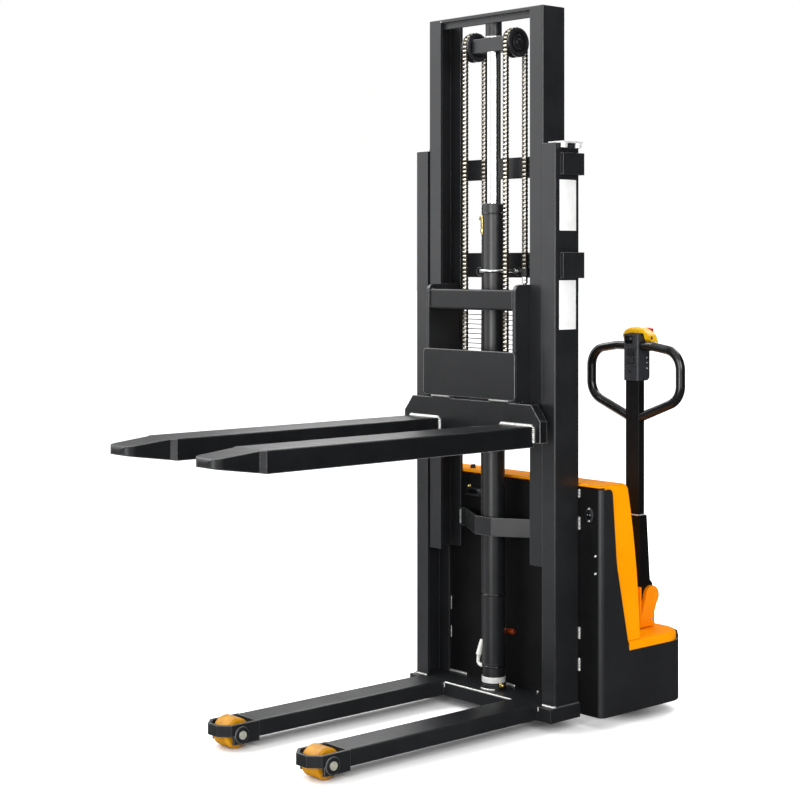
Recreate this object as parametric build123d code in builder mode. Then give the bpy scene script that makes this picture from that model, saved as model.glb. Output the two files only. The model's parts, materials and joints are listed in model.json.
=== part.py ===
from build123d import *
import os
from math import ceil, radians, tan

# Electric stacker with a two-stage mast, forks that come down over the legs, and a tiller on the left.
# Truck coordinates: X across from the truck's middle, Y back from the front of the mast, Z up from the
# floor. Left (+X) and right are the operator's, who stands behind the body and looks along -Y.
# The mast stands part raised, as it does with the forks at working height.

# Lift
lowered_fork_top = 96.0
mast_rise = 408.0
carriage_rise = 2 * mast_rise

# Mast
mast_width = 618.0
channel_depth = 106.0
channel_flange = 54.0
flange_thick = 10.0
web_thick = 8.0
channel_corner = 6.0
base_top = 70.0
outer_top = 1760.0
stage_gap = 2.0
inner_front = 5.0
inner_depth = 99.0
inner_length = 1694.0
foot_gap = 6.0

# Mast ties and guide plates
tie_thick = 12.0
tie_cheek = 13.0
tie_reach = 84.0
upper_tie_bottom = 1665.0
upper_tie_height = 66.0
lower_tie_bottom = 1354.0
lower_tie_height = 78.0
guide_y = 59.0
guide_length = 84.0
guide_thick = 5.0
guide_bolt_gauge = 62.0
guide_bolt_flats = 19.0
guide_bolt_drop = 14.0

# Wire guard on the mast's back, behind the carriage
guard_bottom = 880.0
guard_pitch = 15.4
guard_wires = 28
guard_wire = 1.5
guard_bar = 12.0
guard_margin = 8.0

# Lift cylinder
cylinder_y = 48.0
rod_radius = 22.5
tube_radius = 35.0
tube_bore = 29.0
tube_top = 1556.0
gland_radius = 37.0
gland_height = 30.0
tube_foot = 40.0
foot_height = 14.0
band_z = 90.0
band_height = 17.0
lower_bead_z = 144.0
upper_bead_z = 363.0
bead_height = 3.0
bead_proud = 1.5
gland_edge = 3.0
run_fit = 0.05
piston_gap = 0.5
piston_length = 40.0
rod_reach = 1610.0
port_radius = 6.5
port_bore = 5.5
port_x = 48.0
upper_port_z = 1494.0
lower_port_z = 211.0
upper_port_length = 54.0
lower_port_length = 84.0
hose_radius = 4.5

# Lift chains and chain wheels
chain_pitch = 12.7
chain_width = 19.0
chain_height = 12.0
chain_waist = 8.6
chain_x = 90.0
chain_radius = 42.0
chain_wheel_y = 53.5
chain_wheel_drop = 96.0
wheel_flange = 4.0
wheel_rim = 45.5
chain_seat_gap = 0.3
chain_side_gap = 0.75
wheel_pin = 10.0
wheel_hub = 18.0
crosshead_half = 72.0
crosshead_height = 44.0
crosshead_depth = 48.0
anchor_height = 27.0
anchor_rise = 36.0
stud_radius = 6.0
stud_length = 30.0

# Inner mast bars
top_bar_height = 30.0
top_bar_depth = 72.0
top_bar_wall = 10.0
top_bar_setback = 14.0
rod_boss_radius = 26.0
rod_boss_length = 63.0
rod_seat = 41.0
strap_height = 57.0
strap_thick = 8.0
strap_rise = 68.0
strap_front = 34.0
strap_back = 175.0
strap_end = 2.0

# Mast and carriage rollers
roller_gap = 0.5
roller_side = 3.0
roller_axle = 12.5
roller_edge = 2.0
lower_mast_roller = 45.0
upper_mast_roller = 420.0
lower_carriage_roller = 43.0
upper_carriage_roller = 378.0

# Fork carriage
fork_length = 1150.0
fork_width = 140.0
fork_height = 62.0
fork_spacing = 410.0
fork_wall = 6.0
fork_taper = 155.0
fork_tip_width = 100.0
fork_tip_round = 34.0
fork_knee = 13.0
fork_nose_round = 10.0
fork_tip_drop = 15.0
fork_tip_lift = 22.0
fork_edge = 5.0
carriage_front = 57.0
fork_plate_width = 602.0
fork_plate_thick = 30.0
fork_plate_above = 64.0
fork_plate_below = 49.0
fork_plate_corner_x = 38.0
fork_plate_corner_z = 48.0
tab_width = 84.0
tab_height = 6.0
tab_x = 129.0
brace_rise = 14.0
brace_height = 40.0
brace_thick = 8.0
side_plate_thick = 12.0
side_plate_gap = 1.0
side_plate_back = 76.0
side_plate_height = 440.0
side_plate_round = 24.0
base_clear = 8.0
mid_plate_width = 406.0
mid_plate_height = 145.5
mid_plate_thick = 8.0
mid_plate_lift = 8.5
mid_plate_round = 12.0
top_bar_z = 1255.0
carriage_bar_height = 63.0
carriage_bar_depth = 20.0
bar_round = 6.0
bar_recess = 3.0
chain_lug_height = 36.0
chain_lug_drop = 20.0

# Base and legs
base_front = -24.0
base_wall = 10.0
base_margin = 4.0
leg_width = 104.0
leg_bottom = 28.0
leg_top = 76.0
leg_round = 6.0
housing_width = 106.0
housing_wall = 8.0
housing_length = 129.0
housing_bottom = 18.0
housing_nose = 30.0
nose_bottom = 43.0
nose_gap = 14.0
load_wheel_y = -817.0
load_wheel_radius = 44.0
load_wheel_width = 70.0
load_wheel_edge = 6.0
load_hub = 17.0
load_axle = 10.0
hub_side_gap = 0.5
boss_radius = 24.0
boss_height = 3.0
lobe_radius = 28.0
axle_head = 12.0
axle_head_height = 4.0

# Body panels
body_width = 800.0
body_rear = 520.0
sheet = 5.0
front_bend = 16.0
rear_corner = 90.0
panel_sweep = 400.0
skirt_bottom = 37.0
skirt_top = 224.0
rear_lip = 19.0
rear_lip_run = 30.0
panel_top = 720.0
panel_back_low = 231.0
panel_back_mid = 174.0
panel_back_high = 154.0
panel_knee = 490.0
deck_bottom = 232.0
deck_thick = 10.0

# Hood and drive cover
cover_wall = 4.0
cover_gap = 1.0
cover_inset = 12.0
cover_top = 252.0
cover_edge = 11.0
hood_top = 732.0
hood_lip = 7.0
hood_lip_y = 107.0
hood_back_top = 233.0
hood_back_mid = 271.0
hood_back_low = 293.0
hood_waist = 510.0
hood_edge = 10.0
hood_round = 26.0

# Battery, hydraulic power unit and controller, inside the hood
inside_gap = 5.0
battery_depth = 112.0
battery_height = 220.0
battery_side = 24.0
bay_gap = 30.0
tank_length = 150.0
tank_height = 130.0
tank_depth = 110.0
tank_side = 14.0
pump_radius = 48.0
pump_length = 110.0
controller_x = 60.0
controller_z = 480.0
controller_width = 200.0
controller_depth = 60.0
controller_height = 160.0
post_radius = 9.0
post_height = 14.0

# Drive and steering
tiller_inset = 130.0
steer_y = 350.0
drive_radius = 105.0
drive_width = 75.0
drive_edge = 5.0
drive_axle = 15.0
drive_hub = 34.0
drive_rim = 78.0
drive_clear = 4.0
slew_radius = 80.0
slew_thick = 16.0
slew_gap = 2.0
neck_radius = 30.0
neck_gap = 3.0
gear_width = 38.0
gear_half = 60.0
motor_radius = 50.0
motor_length = 24.0
bracket_half = 38.0
ear_thick = 12.0
bracket_base = 12.0
bracket_gap = 4.0
ear_front = 388.0
ear_rear = 457.0
ear_radius = 32.0
ear_waist = 302.0
web_top = 383.0
web_depth = 6.0

# Tiller
pivot_y = 446.0
pivot_z = 350.0
pivot_radius = 10.0
knuckle_gap = 1.5
knuckle_radius = 26.0
boot_y = 452.0
boot_z = 384.0
boot_radius = 10.0
arm_width = 55.0
arm_depth = 28.0
arm_y = 407.0
arm_wall = 3.0
sleeve_width = 66.0
sleeve_front = 391.0
sleeve_top = 607.0
sleeve_bottom = 398.0
sleeve_back_top = 425.0
sleeve_back_low = 441.0
grip_radius = 14.5
grip_half = 183.0
grip_drop = 38.0
grip_straight = 75.0
grip_slope = 17.0
grip_side = 144.0
grip_rake = 67.0
grip_bend = 62.0
grip_inside = 15.0

# Control head and its controls
head_width = 60.0
head_front = 386.0
head_back = 442.0
head_top = 1177.0
head_height = 147.0
head_edge = 6.0
head_slope = 9.0
heel_width = 52.0
heel_back = 474.0
heel_drop = 9.0
heel_height = 40.0
saddle_front = 400.0
saddle_drop = 6.0
throttle_y = 424.0
throttle_drop = 13.0
throttle_pin = 5.0
throttle_arch_gap = 2.0
throttle_drum_gap = 1.0
throttle_arch = 20.0
throttle_fall = 27.0
throttle_front = 406.0
throttle_back = 438.0
throttle_half = 54.0
throttle_gap = 3.0
wing_drop = 46.0
wing_back = 458.0
wing_round = 10.0
belly_half = 24.0
belly_front = 449.0
belly_back = 473.0
belly_gap = 9.0
belly_height = 18.0
belly_stem = 8.0
belly_inside = 12.0
belly_bore = 24.0
belly_round = 8.0
belly_crown = 4.0
rocker_width = 26.0
rocker_height = 40.0
rocker_drop = 72.0
rocker_proud = 5.0
rocker_depth = 10.0
rocker_pocket = 15.0
rocker_gap = 2.0
rocker_pin = 2.0
rocker_pin_depth = 1.0
rocker_dip = 2.0

# Key on the hood
key_x = -199.0
key_y = 150.0
key_radius = 9.0
key_stem = 6.0
key_disc = 4.0
key_blade = 4.0
key_blade_height = 8.0
key_gap = 0.3

# Caster
caster_inset = 130.0
caster_y = 340.0
caster_trail = 40.0
caster_radius = 65.0
caster_width = 50.0
caster_edge = 6.0
caster_stem = 15.0
caster_post = 28.0
caster_plate = 12.0
caster_plate_z = 140.0
caster_cheek = 6.0
caster_axle = 8.0
caster_gap = 2.0

# Places that follow from the sizes above
fork_top = lowered_fork_top + carriage_rise
fork_bottom = fork_top - fork_height
outer_half = mast_width / 2
inner_half = outer_half - channel_flange - stage_gap
inner_bottom = base_top + foot_gap + mast_rise
inner_top = inner_bottom + inner_length
inner_mid = inner_front + inner_depth / 2
inner_back = inner_front + inner_depth
inner_tip = inner_half - channel_flange
chain_wheel_z = inner_top - chain_wheel_drop
chain_front_y = chain_wheel_y - chain_radius
chain_back_y = chain_wheel_y + chain_radius
plate_outer = inner_tip - side_plate_gap
plate_inner = plate_outer - side_plate_thick
fork_x = fork_spacing / 2
fork_plate_top = fork_top + fork_plate_above
fork_plate_bottom = fork_bottom + fork_height - fork_plate_below
fork_plate_back = -carriage_front + fork_plate_thick
mid_plate_bottom = fork_plate_top + mid_plate_lift
mid_plate_top = mid_plate_bottom + mid_plate_height
front_links = ceil((chain_wheel_z - mid_plate_top + chain_lug_drop) / chain_pitch)
rear_links = ceil((chain_wheel_z - lower_tie_bottom - anchor_rise) / chain_pitch)
front_chain_end = chain_wheel_z - front_links * chain_pitch
rear_chain_end = chain_wheel_z - rear_links * chain_pitch
plate_bottom = base_top + base_clear + carriage_rise
nose_y = load_wheel_y - load_wheel_radius - nose_gap - housing_wall
housing_back = nose_y + housing_length
body_half = body_width / 2
panel_back = channel_depth + sheet
cover_half = body_half - cover_gap
hood_half = body_half - sheet - cover_gap
tank_x = tank_side - hood_half
battery_x = tank_x + tank_length + pump_length + bay_gap
battery_end = hood_half - battery_side
tiller_x = body_half - tiller_inset
caster_x = caster_inset - body_half
deck_top = deck_bottom + deck_thick
slew_top = deck_bottom - slew_gap
slew_bottom = slew_top - slew_thick
bracket_z = cover_top + bracket_gap
ear_bottom = bracket_z + bracket_base
head_bottom = head_top - head_height
heel_top = head_top - heel_drop
heel_bottom = heel_top - heel_height
throttle_z = head_top - throttle_drop
arch_bottom = head_top + throttle_arch_gap
arch_top = arch_bottom + throttle_arch
wing_bottom = head_top - wing_drop
rocker_z = head_top - rocker_drop
grip_top = head_top - grip_drop
grip_shoulder = grip_top - grip_slope
grip_knee = grip_shoulder - grip_side
grip_root = grip_knee - grip_rake
grip_reach = grip_half + grip_radius

# The row's origin is on the floor in the middle of the truck's box, the handle's overhang included.
truck_x = -(tiller_x + grip_reach - body_half) / 2
truck_y = -(body_rear - carriage_front - fork_length) / 2


def level(z):
    """Sketch plane at height z: X to the right, Y back, drawn up."""
    return Plane(origin=(truck_x, truck_y, z))


def across(y):
    """Upright plane across the truck: X and Z, drawn towards the forks."""
    return Plane(origin=(truck_x, truck_y + y, 0), x_dir=(1, 0, 0), z_dir=(0, -1, 0))


def along(x):
    """Upright plane along the truck: Y and Z, drawn to the left."""
    return Plane(origin=(truck_x + x, truck_y, 0), x_dir=(0, 1, 0), z_dir=(1, 0, 0))


def radial(x, y, z):
    """Level plane through a crosswise axis at y, z: X along the axis, Y out from it."""
    return Plane(origin=(truck_x + x, truck_y + y, z))


def upright(x, y):
    return Axis((truck_x + x, truck_y + y, 0), (0, 0, 1))


def crosswise(y, z):
    return Axis((truck_x, truck_y + y, z), (1, 0, 0))


def span(x0, x1, y0, y1, mode=Mode.ADD):
    """Rectangle between two corners of the open sketch."""
    with Locations(((x0 + x1) / 2, (y0 + y1) / 2)):
        Rectangle(abs(x1 - x0), abs(y1 - y0), mode=mode)


def disc(x, y, radius, mode=Mode.ADD):
    """Circle about a point of the open sketch."""
    with Locations((x, y)):
        Circle(radius, mode=mode)


def keep(piece, name):
    piece.part.label = name
    export_step(piece.part, f"parts/{name}.step")


os.makedirs("parts", exist_ok=True)
middle = along(0)


# Base: an open-bottomed box that the mast, legs and cylinder stand on
base_half = outer_half + base_margin
with BuildPart() as base_frame:
    with BuildSketch(level(leg_bottom)):
        span(-base_half, base_half, base_front, channel_depth)
    extrude(amount=base_top - leg_bottom)
    with BuildSketch(level(leg_bottom)):
        span(base_wall - base_half, base_half - base_wall, base_front + base_wall, channel_depth - base_wall)
    extrude(amount=base_top - leg_bottom - base_wall, mode=Mode.SUBTRACT)
keep(base_frame, "base_frame")

# Legs: a tube with an open wheel housing at its nose
cheek_x = housing_width / 2
with BuildPart() as left_leg:
    with BuildSketch(across(base_front)):
        with Locations((fork_x, (leg_bottom + leg_top) / 2)):
            RectangleRounded(leg_width, leg_top - leg_bottom, leg_round)
    extrude(amount=base_front - housing_back)
    with BuildSketch(level(housing_bottom)) as housing:
        span(fork_x - cheek_x, fork_x + cheek_x, nose_y, housing_back)
        chamfer(housing.vertices().sort_by(Axis.Y)[:2], housing_nose)
    extrude(amount=leg_top - housing_bottom)
    with BuildSketch(along(fork_x - cheek_x - boss_height)):
        disc(load_wheel_y, load_wheel_radius, boss_radius)
    extrude(amount=housing_width + 2 * boss_height)
    with BuildSketch(along(fork_x - cheek_x)):
        disc(load_wheel_y, load_wheel_radius, lobe_radius)
    extrude(amount=housing_width)
    with BuildSketch(level(0)) as well:
        span(
            fork_x - cheek_x + housing_wall,
            fork_x + cheek_x - housing_wall,
            nose_y + housing_wall,
            housing_back - housing_wall,
        )
        chamfer(well.vertices().sort_by(Axis.Y)[:2], housing_nose - housing_wall * tan(radians(22.5)))
    extrude(amount=2 * leg_top, mode=Mode.SUBTRACT)
    with BuildSketch(level(0)):
        span(fork_x - cheek_x, fork_x + cheek_x, nose_y, load_wheel_y - lobe_radius)
    extrude(amount=nose_bottom, mode=Mode.SUBTRACT)
    with BuildSketch(along(fork_x - housing_width)):
        disc(load_wheel_y, load_wheel_radius, load_axle)
    extrude(amount=2 * housing_width, mode=Mode.SUBTRACT)
keep(left_leg, "left_leg")

with BuildPart() as right_leg:
    mirror(left_leg.part, about=middle)
keep(right_leg, "right_leg")

# Load wheel axles: a pin with a head on each cheek's boss
axle_half = cheek_x + boss_height
with BuildPart() as load_axles:
    with BuildSketch(along(fork_x - axle_half)):
        disc(load_wheel_y, load_wheel_radius, load_axle)
    extrude(amount=2 * axle_half)
    with BuildSketch(along(fork_x + axle_half), along(fork_x - axle_half - axle_head_height)):
        disc(load_wheel_y, load_wheel_radius, axle_head)
    extrude(amount=axle_head_height)
    mirror(about=middle)
keep(load_axles, "load_axles")

# Load wheels: a tyre on a longer hub
hub_half = cheek_x - housing_wall - hub_side_gap
with BuildPart() as left_load_wheel:
    with BuildSketch(radial(fork_x, load_wheel_y, load_wheel_radius)) as tread:
        span(-load_wheel_width / 2, load_wheel_width / 2, load_axle + run_fit, load_wheel_radius)
        chamfer(tread.vertices().sort_by(Axis.Y)[-2:], load_wheel_edge)
        span(-hub_half, hub_half, load_axle + run_fit, load_hub)
    revolve(axis=crosswise(load_wheel_y, load_wheel_radius))
keep(left_load_wheel, "left_load_wheel")

with BuildPart() as right_load_wheel:
    mirror(left_load_wheel.part, about=middle)
keep(right_load_wheel, "right_load_wheel")

# Outer mast channels, open towards each other
with BuildPart() as left_outer_channel:
    with BuildSketch(level(base_top)) as section:
        span(outer_half - channel_flange, outer_half, 0, channel_depth)
        fillet(section.vertices().sort_by(Axis.X)[-2:], channel_corner)
        span(
            outer_half - channel_flange,
            outer_half - web_thick,
            flange_thick,
            channel_depth - flange_thick,
            mode=Mode.SUBTRACT,
        )
    extrude(amount=outer_top - base_top)
keep(left_outer_channel, "left_outer_channel")

with BuildPart() as right_outer_channel:
    mirror(left_outer_channel.part, about=middle)
keep(right_outer_channel, "right_outer_channel")

# Mast ties: a plate behind both channels, with cheeks forward along their outer sides
tie_half = outer_half + tie_cheek
for tie_name, tie_bottom, tie_height in (
    ("upper_mast_tie", upper_tie_bottom, upper_tie_height),
    ("lower_mast_tie", lower_tie_bottom, lower_tie_height),
):
    with BuildPart() as mast_tie:
        with BuildSketch(level(tie_bottom)) as tie_section:
            span(-tie_half, tie_half, channel_depth - tie_reach, channel_depth + tie_thick)
            fillet(tie_section.vertices().sort_by(Axis.Y)[-2:], channel_corner)
            span(-outer_half, outer_half, channel_depth - tie_reach, channel_depth, mode=Mode.SUBTRACT)
        extrude(amount=tie_height)
    keep(mast_tie, tie_name)

# Guide plates on the channel tops, each with two hexagon bolts beside the channel
guide_in = outer_half - channel_flange + flange_thick
guide_out = outer_half + guide_bolt_flats
with BuildPart() as guide_plates:
    with BuildSketch(level(outer_top)):
        span(guide_in, guide_out, guide_y - guide_length / 2, guide_y + guide_length / 2)
    extrude(amount=guide_thick)
    with BuildSketch(level(outer_top - guide_bolt_drop)):
        for bolt_y in (guide_y - guide_bolt_gauge / 2, guide_y + guide_bolt_gauge / 2):
            with Locations((outer_half + guide_bolt_flats / 2, bolt_y)):
                RegularPolygon(guide_bolt_flats / 2, 6, major_radius=False, rotation=30)
    extrude(amount=guide_bolt_drop)
    mirror(about=middle)
keep(guide_plates, "guide_plates")

# Guard of level wires behind the carriage, on a flat bar down the back of each channel
guard_x = outer_half - channel_flange + guard_bar
guard_back = channel_depth + 2 * guard_wire
guard_top = guard_bottom + (guard_wires - 1) * guard_pitch
with BuildPart() as carriage_guard:
    with BuildSketch(along(-guard_x)):
        for wire in range(guard_wires):
            disc(channel_depth + guard_wire, guard_bottom + wire * guard_pitch, guard_wire)
    extrude(amount=2 * guard_x)
    with BuildSketch(across(guard_back)):
        for side in (-1, 1):
            span(
                side * guard_x,
                side * (guard_x - guard_bar),
                guard_bottom - guard_margin,
                guard_top + guard_margin,
            )
    extrude(amount=2 * guard_wire)
keep(carriage_guard, "carriage_guard")

# Lift cylinder: a bored tube with a foot, beads and two hose ports on its right side
with BuildPart() as cylinder_tube:
    with BuildSketch(along(0)):
        span(cylinder_y, cylinder_y + tube_radius, base_top, tube_top)
        span(cylinder_y, cylinder_y + tube_foot, base_top, base_top + foot_height)
        for ring_z, ring_height in (
            (band_z, band_height),
            (lower_bead_z, bead_height),
            (upper_bead_z, bead_height),
        ):
            span(cylinder_y, cylinder_y + tube_radius + bead_proud, ring_z, ring_z + ring_height)
    revolve(axis=upright(0, cylinder_y))
    with BuildSketch(along(-port_x)):
        disc(cylinder_y, upper_port_z + upper_port_length - port_radius, port_bore)
        disc(cylinder_y, lower_port_z - lower_port_length + port_radius, port_bore)
    extrude(amount=port_x)
    with BuildSketch(level(upper_port_z)):
        disc(-port_x, cylinder_y, port_radius)
    extrude(amount=upper_port_length)
    with BuildSketch(level(lower_port_z)):
        disc(-port_x, cylinder_y, port_radius)
    extrude(amount=-lower_port_length)
    with BuildSketch(level(tube_top)):
        disc(0, cylinder_y, tube_bore)
    extrude(amount=base_top + tube_foot - tube_top, mode=Mode.SUBTRACT)
keep(cylinder_tube, "cylinder_tube")

with BuildPart() as cylinder_gland:
    with BuildSketch(level(tube_top)):
        disc(0, cylinder_y, gland_radius)
        disc(0, cylinder_y, rod_radius + run_fit, mode=Mode.SUBTRACT)
    extrude(amount=gland_height)
    chamfer(cylinder_gland.faces().sort_by(Axis.Z)[-1].outer_wire().edges(), gland_edge)
keep(cylinder_gland, "cylinder_gland")

with BuildPart() as return_hose:
    with BuildSketch(level(lower_port_z)):
        disc(-port_x, cylinder_y, hose_radius)
    extrude(amount=upper_port_z - lower_port_z)
keep(return_hose, "return_hose")

# Lift rod with its piston, up into the boss under the inner mast's top bar
rod_top = inner_top - top_bar_height - rod_boss_length + top_bar_height + rod_seat
rod_bottom = rod_top - rod_reach
with BuildPart() as lift_rod:
    with BuildSketch(level(rod_bottom)):
        disc(0, cylinder_y, rod_radius)
    extrude(amount=rod_reach)
    with BuildSketch(level(rod_bottom)):
        disc(0, cylinder_y, tube_bore - piston_gap)
    extrude(amount=piston_length)
keep(lift_rod, "lift_rod")

# Crosshead on the rod, with a pin for a chain wheel at each end
wheel_half = chain_width / 2 + chain_side_gap + wheel_flange
pin_end = chain_x + wheel_half + wheel_flange
with BuildPart() as crosshead:
    with BuildSketch(level(chain_wheel_z - crosshead_height / 2)):
        span(
            -crosshead_half,
            crosshead_half,
            cylinder_y - crosshead_depth / 2,
            cylinder_y + crosshead_depth / 2,
        )
    extrude(amount=crosshead_height)
    with BuildSketch(along(-pin_end)):
        disc(chain_wheel_y, chain_wheel_z, wheel_pin)
    extrude(amount=2 * pin_end)
    with BuildSketch(level(chain_wheel_z - crosshead_height)):
        disc(0, cylinder_y, rod_radius)
    extrude(amount=2 * crosshead_height, mode=Mode.SUBTRACT)
keep(crosshead, "crosshead")

# Chain wheels: a flanged rim for the chain, a recessed web and a hub
groove = chain_radius - chain_height / 2 - chain_seat_gap
with BuildPart() as left_chain_wheel:
    with BuildSketch(radial(chain_x, chain_wheel_y, chain_wheel_z)):
        span(-wheel_half, wheel_half, wheel_pin + run_fit, wheel_rim)
        groove_half = wheel_half - wheel_flange
        span(-groove_half, groove_half, groove, wheel_rim, mode=Mode.SUBTRACT)
        for face_x in (-wheel_half, wheel_half):
            span(face_x * 0.6, face_x, wheel_hub, groove - wheel_flange, mode=Mode.SUBTRACT)
    revolve(axis=crosswise(chain_wheel_y, chain_wheel_z))
keep(left_chain_wheel, "left_chain_wheel")

with BuildPart() as right_chain_wheel:
    mirror(left_chain_wheel.part, about=middle)
keep(right_chain_wheel, "right_chain_wheel")


# Lift chains: link plates waisted between the pins, one strand each side of each wheel
def strand_outline(mid_y, links):
    """Outline of one strand, hanging from the wheel's axis: wide at each pin, narrow between pins."""
    half = chain_height / 2
    waist = chain_waist / 2
    near = [(mid_y - half, chain_wheel_z)]
    far = [(mid_y + half, chain_wheel_z)]
    for link in range(links):
        top = chain_wheel_z - link * chain_pitch
        for drop, reach in ((chain_pitch / 2, waist), (chain_pitch, half)):
            near.append((mid_y - reach, top - drop))
            far.append((mid_y + reach, top - drop))
    return near + far[::-1]


for chain_name, chain_y, links in (
    ("front_chains", chain_front_y, front_links),
    ("rear_chains", chain_back_y, rear_links),
):
    with BuildPart() as chains:
        with BuildSketch(along(chain_x - chain_width / 2)):
            Polygon(*strand_outline(chain_y, links), align=None)
        extrude(amount=chain_width)
        mirror(about=middle)
    keep(chains, chain_name)

with BuildPart() as chain_wraps:
    with BuildSketch(along(chain_x - chain_width / 2)):
        disc(chain_wheel_y, chain_wheel_z, chain_radius + chain_height / 2)
        disc(chain_wheel_y, chain_wheel_z, chain_radius - chain_height / 2, mode=Mode.SUBTRACT)
        span(
            chain_wheel_y - chain_radius - chain_height,
            chain_wheel_y + chain_radius + chain_height,
            chain_wheel_z - 2 * chain_radius,
            chain_wheel_z,
            mode=Mode.SUBTRACT,
        )
    extrude(amount=chain_width)
    mirror(about=middle)
keep(chain_wraps, "chain_wraps")

# Chain anchors on the lower tie: a lug under each rear strand and its adjusting stud
anchor_half = chain_width / 2 + wheel_flange / 2
with BuildPart() as chain_anchors:
    with BuildSketch(along(chain_x - anchor_half)):
        span(chain_back_y - chain_height / 2, channel_depth, rear_chain_end - anchor_height, rear_chain_end)
    extrude(amount=2 * anchor_half)
    with BuildSketch(level(rear_chain_end - anchor_height)):
        disc(chain_x, chain_back_y, stud_radius)
    extrude(amount=-stud_length)
    mirror(about=middle)
keep(chain_anchors, "chain_anchors")

# Inner mast channels, with stub axles for the mast rollers on the outside of their webs
stub_end = outer_half - web_thick - roller_side
with BuildPart() as left_inner_channel:
    with BuildSketch(level(inner_bottom)) as inner_section:
        span(inner_tip, inner_half, inner_front, inner_back)
        fillet(inner_section.vertices().sort_by(Axis.X)[-2:], channel_corner)
        span(
            inner_tip,
            inner_half - web_thick,
            inner_front + flange_thick,
            inner_back - flange_thick,
            mode=Mode.SUBTRACT,
        )
    extrude(amount=inner_length)
    with BuildSketch(along(inner_half - web_thick / 2)):
        disc(channel_depth / 2, inner_bottom + lower_mast_roller, roller_axle)
        disc(channel_depth / 2, inner_bottom + upper_mast_roller, roller_axle)
    extrude(amount=stub_end - inner_half + web_thick / 2)
keep(left_inner_channel, "left_inner_channel")

with BuildPart() as right_inner_channel:
    mirror(left_inner_channel.part, about=middle)
keep(right_inner_channel, "right_inner_channel")

# Top bar of the inner mast: an angle between the channels, with the rod's boss under it
bar_bottom = inner_top - top_bar_height
leg_front = inner_front + top_bar_setback
with BuildPart() as inner_top_bar:
    with BuildSketch(along(-inner_tip)):
        span(leg_front, leg_front + top_bar_wall, bar_bottom, inner_top)
        span(inner_front, inner_front + top_bar_depth, inner_top - top_bar_wall, inner_top)
    extrude(amount=2 * inner_tip)
    with BuildSketch(level(inner_top - rod_boss_length - top_bar_wall)):
        disc(0, cylinder_y, rod_boss_radius)
    extrude(amount=rod_boss_length)
    with BuildSketch(level(inner_top - rod_boss_length - top_bar_wall)):
        disc(0, cylinder_y, rod_radius)
    extrude(amount=rod_top - inner_top + rod_boss_length + top_bar_wall, mode=Mode.SUBTRACT)
keep(inner_top_bar, "inner_top_bar")

# Strap across the inner mast's foot: from the rear flanges forward, round the front of the cylinder
strap_y = inner_back - strap_end - strap_thick / 2
strap_z = inner_bottom + strap_rise
with BuildPart() as inner_strap:
    with BuildSketch(level(strap_z)):
        with BuildLine() as strap_line:
            Polyline(
                (-inner_tip, strap_y),
                (-strap_back, strap_y),
                (-strap_front, strap_thick / 2),
                (strap_front, strap_thick / 2),
                (strap_back, strap_y),
                (inner_tip, strap_y),
            )
        trace(line_width=strap_thick)
    extrude(amount=strap_height)
keep(inner_strap, "inner_strap")

# Carriage side plates, each with two stub axles for its rollers
axle_end = inner_half - web_thick - roller_side
lower_roller_z = plate_bottom + lower_carriage_roller
upper_roller_z = plate_bottom + upper_carriage_roller
plate_top = plate_bottom + side_plate_height
with BuildPart() as carriage_left_plate:
    with BuildSketch(along(plate_inner)) as plate_outline:
        span(-carriage_front, side_plate_back, plate_bottom, plate_top)
        fillet(plate_outline.vertices().sort_by(Axis.Y)[-2:], side_plate_round)
        span(-carriage_front, fork_plate_back, plate_bottom, fork_plate_top + tab_height, mode=Mode.SUBTRACT)
    extrude(amount=side_plate_thick)
    with BuildSketch(along(plate_outer)):
        disc(inner_mid, lower_roller_z, roller_axle)
        disc(inner_mid, upper_roller_z, roller_axle)
    extrude(amount=axle_end - plate_outer)
keep(carriage_left_plate, "carriage_left_plate")

with BuildPart() as carriage_right_plate:
    mirror(carriage_left_plate.part, about=middle)
keep(carriage_right_plate, "carriage_right_plate")


# Rollers: a left and a right one on each level, on one axis
def roller_section(inner_x, outer_x, radius):
    """Half section of a roller with broken edges, in the open sketch."""
    span(inner_x, outer_x, roller_axle + run_fit, radius - roller_edge)
    span(inner_x + roller_edge, outer_x - roller_edge, radius - roller_edge, radius)


mast_roller = channel_depth / 2 - flange_thick - roller_gap
carriage_roller = inner_depth / 2 - flange_thick - roller_gap
mast_y = channel_depth / 2
lower_mast_z = inner_bottom + lower_mast_roller
upper_mast_z = inner_bottom + upper_mast_roller
for roller_name, roller_y, roller_z, roller_radius, near_x, far_x in (
    ("lower_mast_rollers", mast_y, lower_mast_z, mast_roller, inner_half, stub_end),
    ("upper_mast_rollers", mast_y, upper_mast_z, mast_roller, inner_half, stub_end),
    ("lower_carriage_rollers", inner_mid, lower_roller_z, carriage_roller, plate_outer, axle_end),
    ("upper_carriage_rollers", inner_mid, upper_roller_z, carriage_roller, plate_outer, axle_end),
):
    with BuildPart() as rollers:
        with BuildSketch(radial(0, roller_y, roller_z)):
            roller_section(near_x + roller_side, far_x, roller_radius)
        revolve(axis=crosswise(roller_y, roller_z))
        mirror(about=middle)
    keep(rollers, roller_name)

# Carriage bars and plates
with BuildPart() as carriage_top_bar:
    with BuildSketch(across(carriage_bar_depth + bar_recess - carriage_front)):
        span(-plate_inner, plate_inner, top_bar_z, top_bar_z + carriage_bar_height)
    extrude(amount=carriage_bar_depth)
    fillet(carriage_top_bar.faces().sort_by(Axis.Y)[0].edges().filter_by(Axis.X), bar_round)
keep(carriage_top_bar, "carriage_top_bar")

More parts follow.
